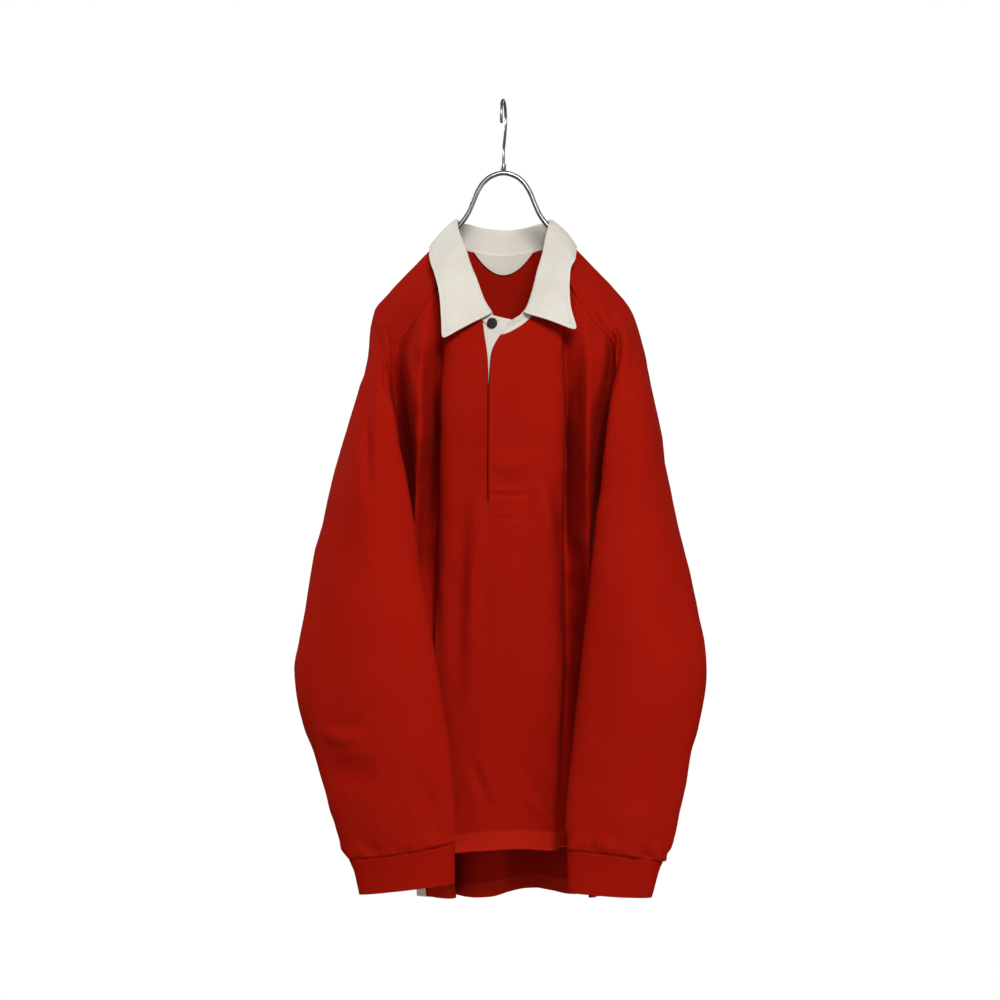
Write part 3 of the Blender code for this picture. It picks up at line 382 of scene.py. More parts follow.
SLEEVE_R = ("sleeve_right",)
SLEEVE_L = ("sleeve_left",)
FRONT = ("front",)
BACK = ("back",)
CREASES = [
    # The elbow, and the top of the right sleeve.
    *creases("front", SLEEVE_R, [
        (-4.5, 8, (-208, -754), (-185, -759), (-160, -757)),
        (6, 20, (-215, -796), (-182, -803), (-145, -800)),
        (3, 12, (-100, -800), (-85, -840), (-75, -880)),
        (4.6, 7, (-164, -335), (-161.9, -400), (-159, -480)),
        (4.5, 8.5, (-154, -272), (-147, -310), (-134, -370)),
        (-2.2, 6, (-148, -235), (-150, -262), (-156, -300)),
        (2.6, 4, (-143, -270), (-140, -288), (-137, -306)),
    ]),
    # The shoulder of the left sleeve.
    *creases("front", SLEEVE_L + FRONT, [(4.8, 7.8, (130, -225), (132, -265), (133, -305), (128, -360))]),
    # The two deep folds beside the collar's points run up under them.
    *creases("front", FRONT, [
        (12, 6, (-77, -140), (-78.5, -200), (-80, -290), (-83, -380), (-85, -460), (-88, -600)),
        (-15, 8.5, (-96, -255), (-96.5, -330), (-97, -400), (-98, -450)),
        (-9, 8.5, (-112, -290), (-112, -340), (-114, -420)),
        (12, 6, (76.5, -165), (77.5, -225), (78, -310), (79, -400), (80, -560)),
        (-15, 9, (99, -255), (99.5, -340), (99, -430), (97, -530)),
        (-8, 8.5, (115, -290), (116, -340), (115, -400)),
        (20, 12, (-98, -430), (-99, -500), (-102, -640)),
        (24, 11, (86, -440), (86, -560), (85, -700), (82, -870)),
    ], fold=True),
    # Broad soft folds of the body.
    *creases("front", FRONT, [
        (4, 12, (-49, -465), (-52, -560), (-54, -640), (-52, -720)),
        (-2.6, 10, (-33, -465), (-36, -580), (-38, -720)),
        (4.4, 11, (50, -420), (64, -480), (74, -560)),
        (-3.4, 12, (40, -440), (50, -520), (60, -620)),
        (-4.4, 8, (34, -832), (50, -860), (68, -884)),
        (4, 9, (26, -795), (44, -826), (66, -852)),
        (3, 8, (-40, -790), (-28, -820), (-12, -858)),
        # The end of the placket, which is stiffer than the cloth round it.
        (-3.4, 12, (-17, -440), (6, -444), (34, -438)),
        (2, 4.2, (-19, -479), (6, -481), (34, -478)),
        (1.2, 3, (-20, -505), (6, -506.5), (33, -504.5)),
        (0.8, 3, (31, -470), (31.2, -510)),
    ]),
    # The back, from the shoulders down and in, and then down.
    *creases("back", BACK, [
        (7.2, 13, (105, -330), (88, -420), (60, -510)),
        (6.4, 12, (-108, -310), (-90, -400), (-68, -500)),
        (4.9, 14, (12, -350), (16, -480), (8, -640)),
        (6.4, 13, (-42, -430), (-48, -590), (-40, -780)),
        (5.8, 14, (56, -520), (62, -670), (52, -840)),
        (5.5, 12, (-90, -560), (-86, -700), (-90, -850)),
        (3.5, 8, (-30, -270), (0, -282), (34, -272)),
    ]),
    # The back below the front's hem: the fold that comes forward stands a little more to the left.
    *creases("back", BACK, [
        (8, 14, (8, -780), (8, -930), (8, -1120)),
        (-6, 12, (54, -780), (54, -930), (54, -1120)),
    ], fold=True),
    # The underarms and the elbows, from the sides and behind.
    *creases("back", SLEEVE_L, [
        (3.4, 9, (-170, -640), (-145, -662), (-120, -668)),
        (2.6, 8, (-195, -690), (-165, -705), (-135, -700)),
    ]),
    *creases("back", SLEEVE_R, [
        (3.4, 9, (175, -660), (148, -680), (120, -682)),
        (2.4, 8, (195, -715), (165, -728), (135, -722)),
    ]),
    *creases("back", SLEEVE_L, [(2.2, 11, (-150, -380), (-158, -460), (-168, -560))]),
    *creases("back", SLEEVE_R, [(2.2, 11, (152, -390), (162, -480), (172, -570))]),
    *creases("left", SLEEVE_L, [
        (3, 9, (-75, -620), (-45, -640), (-15, -645)),
        (2.4, 10, (-20, -330), (-30, -430), (-45, -540)),
    ]),
    *creases("right", SLEEVE_R, [
        (3, 9, (70, -640), (42, -658), (15, -660)),
        (2.4, 10, (18, -340), (28, -440), (45, -550)),
    ]),
]


HANG = 0.35  # hanging cloth is less uneven up and down than across
UNEVENNESS = ((0.0010, 0.030, 50), (0.0005, 0.012, 51))  # height, size of the waves and seed


def crease_all(obj, drawn):
    points, normals = points_of(obj), normals_of(obj)
    names = [slot.name.removeprefix("panel_") for slot in obj.material_slots]
    touches = {name: np.zeros(len(points), bool) for name in names}
    for polygon in obj.data.polygons:
        touches[names[polygon.material_index]][list(polygon.vertices)] = True
    moved = np.zeros((len(points), 3))
    for seed, crease in enumerate(drawn):
        on_panel = np.logical_or.reduce([touches[name] for name in crease.panels])
        moved += press(points, normals, on_panel, crease, seed)
    slow = points * (1.0, 1.0, HANG)
    unevenness = sum(height * wander(slow, wave, seed) for height, wave, seed in UNEVENNESS)
    put_points(obj, points + moved + normals * unevenness[:, None])
    print(len(drawn), "creases, at most", f"{np.linalg.norm(moved, axis=1).max() * 1000:.1f} mm")


crease_all(garment, CREASES)


# %% [markdown]
# Some edges are moved sideways, so that the cloth's outline is right: the sleeves swell and narrow as they
# hang, the slit below its facing is drawn together, and the hollows beside the body go under its edges.
# %% Letting the sleeves out and closing the slit
LET_OUT = {  # heights, and how far outwards at each sleeve's outer edge, in millimetres
    "right": ((-220, 1), (-253, 3.5), (-275, 0.5), (-300, -3.5), (-315, -4.5), (-332, -3.5), (-347, 0),
              (-410, 2.2), (-485, 3.5), (-515, 2.5), (-543, 4.8), (-582, 2.4), (-614, 1.2), (-655, 1.6),
              (-680, 4.8), (-755, 4.8), (-775, 2.6), (-833, 2.6), (-900, 5), (-916, 1), (-940, 0)),
    "left": ((-220, 1), (-268, 0.5), (-315, 1.8), (-347, 1.2), (-410, 3.5), (-441, 1.2), (-472, 2.4),
             (-535, 3.2), (-613, 4.8), (-650, 6), (-690, 4.2), (-755, 2.4), (-775, 0.3), (-815, 2),
             (-850, 0.5), (-890, 4), (-910, 2), (-940, 3)),
}
EDGE_BAND = 0.014  # how far above and below each height the edge is looked for
LET_OUT_REACH = 0.055
SLIT_X = -0.0174
SLIT_TOP, SLIT_FOOT = -0.325, -0.4905


def touching(obj, panels):
    """The points on these panels."""
    names = ["panel_" + panel for panel in panels]
    wanted = {number for number, slot in enumerate(obj.material_slots) if slot.name in names}
    found = np.zeros(len(obj.data.vertices), bool)
    for polygon in obj.data.polygons:
        if polygon.material_index in wanted:
            found[list(polygon.vertices)] = True
    return found


def rising(path):
    """A path in millimetres as two rising rows in metres: heights, and what belongs to each."""
    return np.array(path)[::-1].T / 1000


def let_out(obj, side, sign):
    """Moves a sleeve's outer edge sideways, less and less towards the body."""
    points = points_of(obj)
    chosen = touching(obj, ("sleeve_" + side, "cuff_" + side))
    heights, lengths = rising(LET_OUT[side])
    out = points[:, 0] * sign
    edges = [out[chosen & (abs(points[:, 2] - height) < EDGE_BAND)].max() for height in heights]
    share = np.clip((out - np.interp(points[:, 2], heights, edges)) / LET_OUT_REACH + 1, 0, 1)
    moved = np.interp(points[:, 2], heights, lengths) * share**2 * (3 - 2 * share)
    points[chosen, 0] += sign * moved[chosen]
    put_points(obj, points)


def close_slit(obj):
    """Brings the placket's over edge to its under edge, and a little in front of it."""
    points = points_of(obj)
    x, z = points[:, 0] - SLIT_X, points[:, 2]
    share = ramp(SLIT_TOP - z, 0.030) * ramp(z - SLIT_FOOT, 0.010) * touching(obj, FRONT)
    over = share * (x > 0) * ramp(0.012 - x, 0.012) ** 2
    under = share * (x <= 0) * ramp(0.010 + x, 0.010) ** 2
    points[:, 0] -= 0.0018 * over
    points[:, 1] += 0.0012 * under - 0.0026 * over
    put_points(obj, points)


def sidle(obj, panels, by, reach, path, behind=-1.0):
    """Moves cloth sideways along a path of heights and places, and more of it farther back."""
    points = points_of(obj)
    x, y, z = points.T
    heights, places = rising(path)
    share = np.exp(-(((x - np.interp(z, heights, places)) / reach) ** 2)) * touching(obj, panels)
    share *= ramp(y - behind, 0.030) * ramp(z - heights[0], 0.030) * ramp(heights[-1] - z, 0.030)
    points[:, 0] += by * share
    put_points(obj, points)


let_out(garment, "right", -1)
let_out(garment, "left", 1)
close_slit(garment)
BODY_EDGE_Y = -0.086
sidle(garment, FRONT, 0.0070, 0.010, behind=BODY_EDGE_Y,
      path=((-260, -81), (-340, -84), (-450, -85), (-600, -90), (-680, -95)))
sidle(garment, FRONT, -0.0055, 0.010, behind=BODY_EDGE_Y,
      path=((-260, 79), (-450, 81), (-600, 80), (-700, 79), (-800, 76), (-900, 70)))
# The back's corner goes in behind the cuff.
sidle(garment, BACK, -0.0090, 0.016, path=((-840, -68), (-890, -60), (-930, -56), (-1020, -53)))
print("sleeves let out, slit closed, hollows moved in")


# %% [markdown]
# ## Where the sewing goes
# A stitch line runs at a fixed distance from an edge or a seam. So each point keeps its distance from the
# nearest edge of a kind, measured on the flat pattern, and how far along that edge it lies. The materials
# read both: the first places the line, and the second cuts it into stitches.
# %% Measuring from the edges
EDGE_STEP = 0.001


def pattern_of(mesh):
    """The pattern place of each corner, and one place for each vertex."""
    uv = vectors_of(mesh.uv_layers["pattern"].uv, "vector", 2)
    corners = np.array([loop.vertex_index for loop in mesh.loops])
    first = np.zeros((len(mesh.vertices), 2))
    first[corners] = uv
    return uv, first


def border_of(mesh, uv):
    """The sides that only one face has, each with the pattern places of its two ends."""
    sides = {}
    for polygon in mesh.polygons:
        corners = list(polygon.vertices)
        for k, number in enumerate(polygon.loop_indices):
            following = polygon.loop_indices[(k + 1) % len(corners)]
            pair = (corners[k], corners[(k + 1) % len(corners)])
            if sides.pop(frozenset(pair), None) is None:
                sides[frozenset(pair)] = {pair[0]: uv[number], pair[1]: uv[following]}
    return sides


def walks(pairs):
    """Puts edges in order, end to end, as lists of vertices."""
    near = {}
    for a, b in pairs:
        near.setdefault(a, []).append(b)
        near.setdefault(b, []).append(a)
    unused = {frozenset(pair) for pair in pairs}
    starts = [vertex for vertex in near if len(near[vertex]) == 1] + list(near)
    for start in starts:
        walk = [start]
        while True:
            step = next((n for n in near[walk[-1]] if frozenset((walk[-1], n)) in unused), None)
            if step is None:
                break
            unused.discard(frozenset((walk[-1], step)))
            walk.append(step)
        if len(walk) > 1:
            yield walk


def measure_from(obj, name, wanted):
    """Stores each point's distance from the wanted border edges, and its run along them."""
    mesh = obj.data
    uv, first = pattern_of(mesh)
    points = points_of(obj)
    border = {pair: ends for pair, ends in border_of(mesh, uv).items()
              if wanted(*(points[vertex] for vertex in pair))}
    places, runs, run = [], [], 0.0
    for walk in walks([tuple(pair) for pair in border]):
        for a, b in zip(walk, walk[1:]):
            start, end = border[frozenset((a, b))][a], border[frozenset((a, b))][b]
            length = np.linalg.norm(end - start)
            steps = max(1, math.ceil(length / EDGE_STEP))
            for k in range(steps + 1):
                places.append(start + (end - start) * k / steps)
                runs.append(run + length * k / steps)
            run += length
    tree = KDTree(len(places))
    for number, place in enumerate(places):
        tree.insert((place[0], place[1], 0.0), number)
    tree.balance()
    found = [tree.find((place[0], place[1], 0.0)) for place in first]
    distances, along = [away for _, _, away in found], [runs[number] for _, number, _ in found]
    for key, values in ((name, distances), (name + "_run", along)):
        mesh.attributes.new(key, "FLOAT", "POINT").data.foreach_set("value", np.array(values, np.float32))
    print(f"{obj.name}: {name} runs for {run:.3f} m")


# %% Taking the garment apart into its pieces again
def part_by_panel(obj):
    """Separates the mesh by its panels' material slots, and names each piece after its panel."""
    choose(obj)
    bpy.ops.object.mode_set(mode="EDIT")
    bpy.ops.mesh.select_all(action="SELECT")
    bpy.ops.mesh.separate(type="MATERIAL")
    bpy.ops.object.mode_set(mode="OBJECT")
    made = {}
    for piece in list(bpy.context.selected_objects):
        slot = piece.data.materials[piece.data.polygons[0].material_index]
        panel = slot.name.removeprefix("panel_")
        piece.name = "shirt_" + panel
        made[panel] = piece
    return made


shirt = part_by_panel(garment)


# %% [markdown]
# An edge of a panel is known by where it lies: a hem is the level edge at the bottom, a vent's edge is
# steep, and a raglan seam is all of the edge above the armpit.
# %% The edges that are sewn
ARMPIT = -0.490
SIDE_TOP = -0.486
VENT_TOP = -0.866
SIDE_X = 0.08  # the sides of the body lie farther out than this


def steep(a, b):
    return abs(b[2] - a[2]) > 0.7 * np.linalg.norm(b - a)


def front_hem(a, b):
    return a[2] < -0.87 and not steep(a, b)


def front_slit(a, b):
    return -0.0400 < a[0] < 0.0220 and a[2] > -0.512 and steep(a, b)


def back_hem(a, b):
    return a[2] < -0.95 and not steep(a, b)


def vent(a, b):
    return a[2] < VENT_TOP and steep(a, b) and abs(a[0]) > SIDE_X


def body_seam(a, b):
    raglan = a[2] > ARMPIT and abs(a[0]) > 0.045
    return raglan or (VENT_TOP < a[2] < SIDE_TOP and abs(a[0]) > SIDE_X)


def all_round(a, b):
    return True


measure_from(shirt["front"], "hem", front_hem)
measure_from(shirt["front"], "slit", front_slit)
measure_from(shirt["back"], "hem", back_hem)
for panel in ("front", "back"):
    measure_from(shirt[panel], "vent", vent)
    measure_from(shirt[panel], "seam", body_seam)
for side in ("right", "left"):
    measure_from(shirt["sleeve_" + side], "seam", lambda a, b: a[2] > ARMPIT)
    measure_from(shirt["sleeve_" + side], "cuff_seam", lambda a, b: a[2] < -0.85)
    measure_from(shirt["cuff_" + side], "cuff_seam", lambda a, b: a[2] > -0.915)
    measure_from(shirt["cuff_" + side], "hem", lambda a, b: a[2] < -0.915)


# %% [markdown]
# Stitches draw the cloth in, so it lies in small uneven waves beside each line of them. The front's hem is
# turned up twice. So it is thicker, and stands forward a little at its edge. The wide end of each sleeve is
# gathered into a narrower cuff and blouses over it.
# %% Puckers, hems and cuffs
def kept(piece, name):
    values = np.empty(len(piece.data.vertices), np.float32)
    piece.data.attributes[name].data.foreach_get("value", values)
    return values


def pucker(piece, edge, depth, wave, reach, puff=0.0, along=1.0):
    """Waves along an edge that fade away from it. The edge itself stays where it is."""
    away, run = kept(piece, edge), kept(piece, edge + "_run")
    points, normals = points_of(piece), normals_of(piece)
    waves = wander(np.column_stack([run * along, away * 0.35 / along, 0 * run]), wave, 70)
    moved = ramp(away, 0.003) * (depth * waves + puff) * np.exp(-((away / reach) ** 1.5))
    put_points(piece, points + normals * moved[:, None])


HEM_DEPTH = 0.0195
HEM_THICKER = 0.0008


def turn_up(piece, forward):
    """Makes a hem: its band stands out by its second layer, and its edge kicks forward."""
    away = kept(piece, "hem")
    points, normals = points_of(piece), normals_of(piece)
    points += normals * (HEM_THICKER * ramp(HEM_DEPTH - away, 0.002))[:, None]
    points[:, 1] -= forward * np.clip(1 - away / (HEM_DEPTH * 1.1), 0, 1) ** 1.6
    put_points(piece, points)


turn_up(shirt["front"], 0.0130)
turn_up(shirt["back"], 0.0)
for panel in ("front", "back"):
    pucker(shirt[panel], "hem", 0.0013, 0.009, 0.024)
    pucker(shirt[panel], "seam", 0.0009, 0.012, 0.012)
pucker(shirt["front"], "slit", 0.0006, 0.014, 0.010)
for side in ("right", "left"):
    pucker(shirt["sleeve_" + side], "seam", 0.0009, 0.012, 0.012)
    pucker(shirt["sleeve_" + side], "cuff_seam", 0.0075, 0.012, 0.020, puff=0.0022, along=0.55)
    pucker(shirt["sleeve_" + side], "cuff_seam", 0.0030, 0.008, 0.012)
    pucker(shirt["cuff_" + side], "cuff_seam", 0.0020, 0.009, 0.012)
    pucker(shirt["cuff_" + side], "hem", 0.0008, 0.014, 0.014)
print("puckers along", ", ".join(piece.name for piece in shirt.values()))

# %% [markdown]
# ## Materials
# A material here is a small graph of nodes. These short helpers add a node with its inputs in one line, and
# draw a line of stitches from the distances that the points carry.
# %% Short names for shader nodes
STITCH = 0.0028


class Finish:
    """A material with short ways to add its nodes."""

    def __init__(self, name):
        self.material = bpy.data.materials.new(name)
        self.material.use_nodes = True
        self.tree = self.material.node_tree
        self.shader = self.tree.nodes["Principled BSDF"]

    def feed(self, node, inputs):
        """Links an input to a socket, or gives it a value."""
        for key, value in inputs.items():
            if isinstance(value, bpy.types.NodeSocket):
                self.tree.links.new(value, node.inputs[key])
            else:
                node.inputs[key].default_value = value

    def add(self, kind, inputs, **settings):
        node = self.tree.nodes.new("ShaderNode" + kind)
        for name, value in settings.items():
            setattr(node, name, value)
        self.feed(node, inputs)
        return node

    def math(self, operation, *values, clamp=False):
        return self.add("Math", dict(enumerate(values)), operation=operation, use_clamp=clamp).outputs[0]

    def times(self, first, second):
        return self.math("MULTIPLY", first, second)

    def total(self, values):
        total = values[0]
        for value in values[1:]:
            total = self.math("ADD", total, value)
        return total

    def attribute(self, name):
        return self.add("Attribute", {}, attribute_name=name).outputs["Fac"]

    def object_place(self):
        return self.add("TexCoord", {}).outputs["Object"]

    def pattern(self):
        return self.add("UVMap", {}, uv_map="pattern").outputs["UV"]

    def noise(self, place, scale, detail=2.0, stretch=(1, 1, 1)):
        place = self.add("Mapping", {"Vector": place, "Scale": stretch}).outputs[0]
        return self.add("TexNoise", {"Vector": place, "Scale": scale, "Detail": detail}).outputs["Fac"]

    def mix(self, share, first, second):
        return self.add("Mix", {0: share, 6: first, 7: second}, data_type="RGBA").outputs[2]

    def tinge(self, colour, mask, most, other):
        """Lays another colour over this one where the mask is, at most by this share."""
        return self.mix(self.times(mask, most), colour, other)

    def line(self, distance, at, half):
        """1 on the line at this distance from an edge, falling to 0 at half a width to each side."""
        off = self.math("ABSOLUTE", self.math("SUBTRACT", distance, at))
        return self.math("SUBTRACT", 1.0, self.math("DIVIDE", off, half), clamp=True)

    def dashes(self, run):
        """Cuts a line into stitches along this run."""
        wave = self.math("SINE", self.times(run, 2 * math.pi / STITCH))
        return self.math("ADD", self.times(wave, 2.2), 1.6, clamp=True)

    def stitches(self, name, at, half=0.0007):
        """A line of stitches at this distance from an edge."""
        dash = self.dashes(self.attribute(name + "_run"))
        return self.times(self.line(self.attribute(name), at, half), dash)

    def close(self, colour, height, looks):
        """Links the colour, and the bump from a height in millimetres, and feeds the other inputs."""
        bump = self.add("Bump", {"Height": height, "Distance": 0.001, "Strength": 1.0})
        self.feed(self.shader, {"Base Color": colour, "Normal": bump.outputs[0], **looks})
        return self.material


# %% [markdown]
# Heavy cotton jersey is a knit: fine ribs run up the cloth, and its loops catch the light as soft grain.
# Its red is never quite even, a little darker in patches, darker in a seam's groove, and a little lighter
# along a raised edge, where washing has rubbed it. A turned hem's band is painted lighter still, as
# painted light from above, and the slit's seam is painted darker than the others, as painted shadow
# between its lips. A row says where a line of sewing runs: its edge, its distance from that edge, and its
# kind.
# %% Red jersey
RED = (0.405, 0.0112, 0.0043, 1)
RED_DARK = (0.315, 0.0062, 0.0024, 1)
RED_SEAM_AND_PAINTED_SHADOW = (0.110, 0.0022, 0.0012, 1)
RED_WORN_AND_PAINTED_LIGHT = (0.480, 0.0200, 0.0080, 1)
Sewn = namedtuple("Sewn", "edge at kind force", defaults=(1.0,))


def jersey(name, sewing, box=None, dark=0.22):
    made = Finish(name)
    place, pattern = made.object_place(), made.pattern()
    patches = made.noise(place, 9.0, 3.0)
    grain = made.noise(pattern, 420.0, 3.0, (1.0, 0.45, 1.0))
    cloud = made.math("ADD", made.times(patches, 1.5), -0.28, clamp=True)
    speckle = made.math("ADD", made.times(grain, 0.9), made.times(cloud, 0.55))
    colour = made.mix(made.math("SUBTRACT", speckle, dark, clamp=True), RED_DARK, RED)
    ribs = made.add("TexWave", {"Vector": pattern, "Scale": 160.0, "Distortion": 1.5, "Detail Scale": 3.0})
    heights = [made.times(grain, 0.11), made.times(ribs.outputs["Fac"], 0.020)]
    for row in sewing:
        distance = made.attribute(row.edge)
        if row.kind == "seam":
            groove = made.line(distance, 0.0, 0.0016)
            ridge = made.line(distance, 0.0035, 0.0024)
            colour = made.tinge(colour, groove, 0.24 * row.force, RED_SEAM_AND_PAINTED_SHADOW)
            colour = made.tinge(colour, ridge, 0.12, RED_WORN_AND_PAINTED_LIGHT)
            heights += [made.times(groove, -0.5 * row.force), made.times(ridge, 0.25)]
        elif row.kind == "fold":
            colour = made.tinge(colour, made.line(distance, 0.0, 0.0022), 0.45, RED_WORN_AND_PAINTED_LIGHT)
        elif row.kind == "stitch":
            groove = made.line(distance, row.at, 0.0016)
            thread = made.stitches(row.edge, row.at)
            colour = made.tinge(colour, groove, 0.14, RED_SEAM_AND_PAINTED_SHADOW)
            colour = made.tinge(colour, thread, 0.35, RED_WORN_AND_PAINTED_LIGHT)
            heights += [made.times(groove, -0.30), made.times(thread, 0.25)]
        elif row.kind == "step":
            share = made.math("DIVIDE", made.math("SUBTRACT", row.at + 0.0008, distance), 0.0016, clamp=True)
            # The hem's band is painted lighter here: painted light from above on a band that stands forward.
            colour = made.tinge(colour, share, 0.48, RED_WORN_AND_PAINTED_LIGHT)
            heights.append(made.times(share, 0.7))
    if box:
        groove, thread = box_of_stitches(made, *box)
        colour = made.tinge(colour, groove, 0.16, RED_SEAM_AND_PAINTED_SHADOW)
        colour = made.tinge(colour, thread, 0.35, RED_WORN_AND_PAINTED_LIGHT)
        heights += [made.times(groove, -0.40), made.times(thread, 0.3)]
    return made.close(colour, made.total(heights), {
        "Roughness": 0.86, "Sheen Weight": 0.03, "Sheen Roughness": 0.45,
        "Sheen Tint": (1.0, 0.15, 0.08, 1), "Specular IOR Level": 0.008})


def box_of_stitches(made, left, right, low, high):
    """The rectangle of stitches at a placket's foot, on the front's X and Z."""
    place = made.add("SeparateXYZ", {0: made.object_place()}).outputs
    beyond = []
    for value, start, end in ((place["X"], left, right), (place["Z"], low, high)):
        off = made.math("ABSOLUTE", made.math("SUBTRACT", value, (start + end) / 2))
        beyond.append(made.math("SUBTRACT", off, (end - start) / 2))
    outside = made.math("MAXIMUM", *beyond)
    dash = made.dashes(made.math("ADD", place["X"], place["Z"]))
    return made.line(outside, 0.0, 0.0018), made.times(made.line(outside, 0.0, 0.0008), dash)


SEAMS = [Sewn("seam", 0.0, "seam"), Sewn("seam", 0.0060, "stitch")]
HEM = [Sewn("hem", 0.0, "fold"), Sewn("hem", HEM_DEPTH, "step"), Sewn("hem", HEM_DEPTH - 0.001, "stitch")]
CUFF_SEAM = Sewn("cuff_seam", 0.0, "seam", 0.7)
VENT_FOLD = Sewn("vent", 0.0, "fold")
# The slit's seam is painted darker than the others by its force of 1.8: painted shadow in the gap between its
# lips.
SLIT = [Sewn("slit", 0.0, "seam", 1.8), Sewn("slit", 0.0045, "stitch")]
PLACKET_BOX = (-0.0190, 0.0310, -0.5070, -0.4770)
jersey_front = jersey("red_jersey_front", SEAMS + HEM + [VENT_FOLD] + SLIT, box=PLACKET_BOX)
jersey_back = jersey("red_jersey_back", SEAMS + HEM + [VENT_FOLD, Sewn("vent", 0.0085, "stitch")])
jersey_sleeve = jersey("red_jersey_sleeve", SEAMS + [CUFF_SEAM, Sewn("cuff_seam", 0.0045, "stitch")])
# The cuffs' red is painted darker by a higher threshold: painted shade, since they face a little down, away
# from the lamps above.
jersey_cuff_painted_shade = jersey("red_jersey_cuff", [CUFF_SEAM, Sewn("hem", 0.0, "fold")], dark=0.60)
print("jersey for the front, the back, the sleeves and the cuffs")

# %% [markdown]
# The collar, the facing in the slit, the neck patch and the vents' tapes are white cotton twill, gone a
# little cream. Twill shows as fine slanted ribs. Its edges are turned in and stitched through, so they
# stand a little thicker and look a little lighter. The neck patch is painted lighter than the rest:
# painted light inside the neck, where it lies in shade.
# %% White twill
WHITE = (0.770, 0.732, 0.660, 1)
WHITE_SHADE = (0.700, 0.650, 0.560, 1)
WHITE_SEAM = (0.420, 0.370, 0.300, 1)


def twill(name, sewing, tint=1.0):
    made = Finish(name)
    place, pattern = made.object_place(), made.pattern()
    patches = made.noise(place, 22.0, 4.0)
    grain = made.noise(pattern, 700.0, 3.0)
    slant = made.add("Mapping", {"Vector": pattern, "Rotation": (0, 0, math.radians(38))}).outputs[0]
    ribs = made.add("TexWave", {"Vector": slant, "Scale": 210.0, "Distortion": 0.8, "Detail Scale": 4.0})
    light = tuple(value * tint for value in WHITE[:3]) + (1,)
    shade = tuple(value * tint for value in WHITE_SHADE[:3]) + (1,)
    share = made.math("ADD", made.times(patches, 1.6), made.times(grain, 0.5))
    colour = made.mix(made.math("SUBTRACT", share, 0.45, clamp=True), shade, light)
    heights = [made.times(grain, 0.10), made.times(ribs.outputs["Fac"], 0.05)]
    for row in sewing:
        distance = made.attribute(row.edge)
        if row.kind == "stitch":
            groove = made.line(distance, row.at, 0.0013)
            thread = made.stitches(row.edge, row.at, 0.0006)
            colour = made.tinge(colour, groove, 0.07, WHITE_SEAM)
            colour = made.tinge(colour, thread, 0.30, light)
            heights += [made.times(groove, -0.22), made.times(thread, 0.20)]
        else:
            colour = made.tinge(colour, made.line(distance, 0.0, 0.0030), 0.30, light)
    return made.close(colour, made.total(heights), {
        "Roughness": 0.80, "Sheen Weight": 0.08, "Specular IOR Level": 0.25})


EDGE_FOLD = Sewn("edge", 0.0, "fold")
NARROW = [EDGE_FOLD, Sewn("edge", 0.0022, "stitch")]
twill_collar = twill("white_twill_collar", [EDGE_FOLD, Sewn("edge", 0.0050, "stitch")])
twill_trim = twill("white_twill_trim", NARROW, 0.97)
# The patch's twill is a fifth lighter than the collar's: painted light inside the neck, where it lies in
# shade.
twill_patch_painted_light = twill("white_twill_patch", NARROW, 1.20)
print("twill for the collar, the trim and the patch")


# %% [markdown]
# The walls get their thickness last: Solidify adds an inner face behind the sheet and closes the rim, so
# each piece fills the space of its solid.
# %% Finishing the red pieces
FLAT = {  # width, length and area of what each panel was cut to
    "front": (0.54, 0.71, 0.275), "back": (0.74, 0.82, 0.356),
    "sleeve_right": (0.40, 0.80, 0.229), "sleeve_left": (0.37, 0.80, 0.220),
    "cuff_right": (0.27, 0.065, 0.0125), "cuff_left": (0.25, 0.067, 0.0120),
}
RED_MATERIALS = {"front": jersey_front, "back": jersey_back, "sleeve_right": jersey_sleeve,
                 "sleeve_left": jersey_sleeve, "cuff_right": jersey_cuff_painted_shade, "cuff_left": jersey_cuff_painted_shade}


def dress(piece, material, slot, *replaced):
    """Gives the piece its one material, and its place in the frame."""
    piece.data.materials.clear()
    piece.data.materials.append(material)
    piece.data.polygons.foreach_set("material_index", np.zeros(len(piece.data.polygons), np.int32))
    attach(piece, "root")
    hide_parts(*replaced)
    print(f"{piece.name}: {len(piece.data.polygons)} faces")


RIM_ANGLE = math.radians(65)


def finish_cloth(piece, wall, material, slot, flat, area, on, *replaced):
    apply_modifier(piece, "SOLIDIFY", thickness=wall, offset=-1.0, use_rim=True)
    apply_modifier(piece, "BEVEL", width=wall * 0.3, segments=2, limit_method="ANGLE", angle_limit=RIM_ANGLE)
    choose(piece)
    bpy.ops.object.shade_smooth()
    dress(piece, material, slot, *replaced)


for panel, piece in shirt.items():
    *flat, area = FLAT[panel]
    on = "shirt_" + panel.replace("cuff", "sleeve") if "cuff" in panel else "hanger_rod"
    finish_cloth(piece, RED_WALLS[panel], RED_MATERIALS[panel], "red_jersey", flat, area, on, panel)

# %% [markdown]
# ## The collar
# The stand rises from the neckline, and the fall turns down over it at the roll. They are shaped as one
# cloth, so that the roll is round: the face of the stand that looks into the neck is the same face that the
# fall shows outside.
# %% Collar
def pull(obj, place, by, reach):
    """Draws the cloth round a place along a vector, less and less further off."""
    points = points_of(obj)
    share = np.exp(-((np.linalg.norm(points - place, axis=1) / reach) ** 2))
    put_points(obj, points + share[:, None] * by)


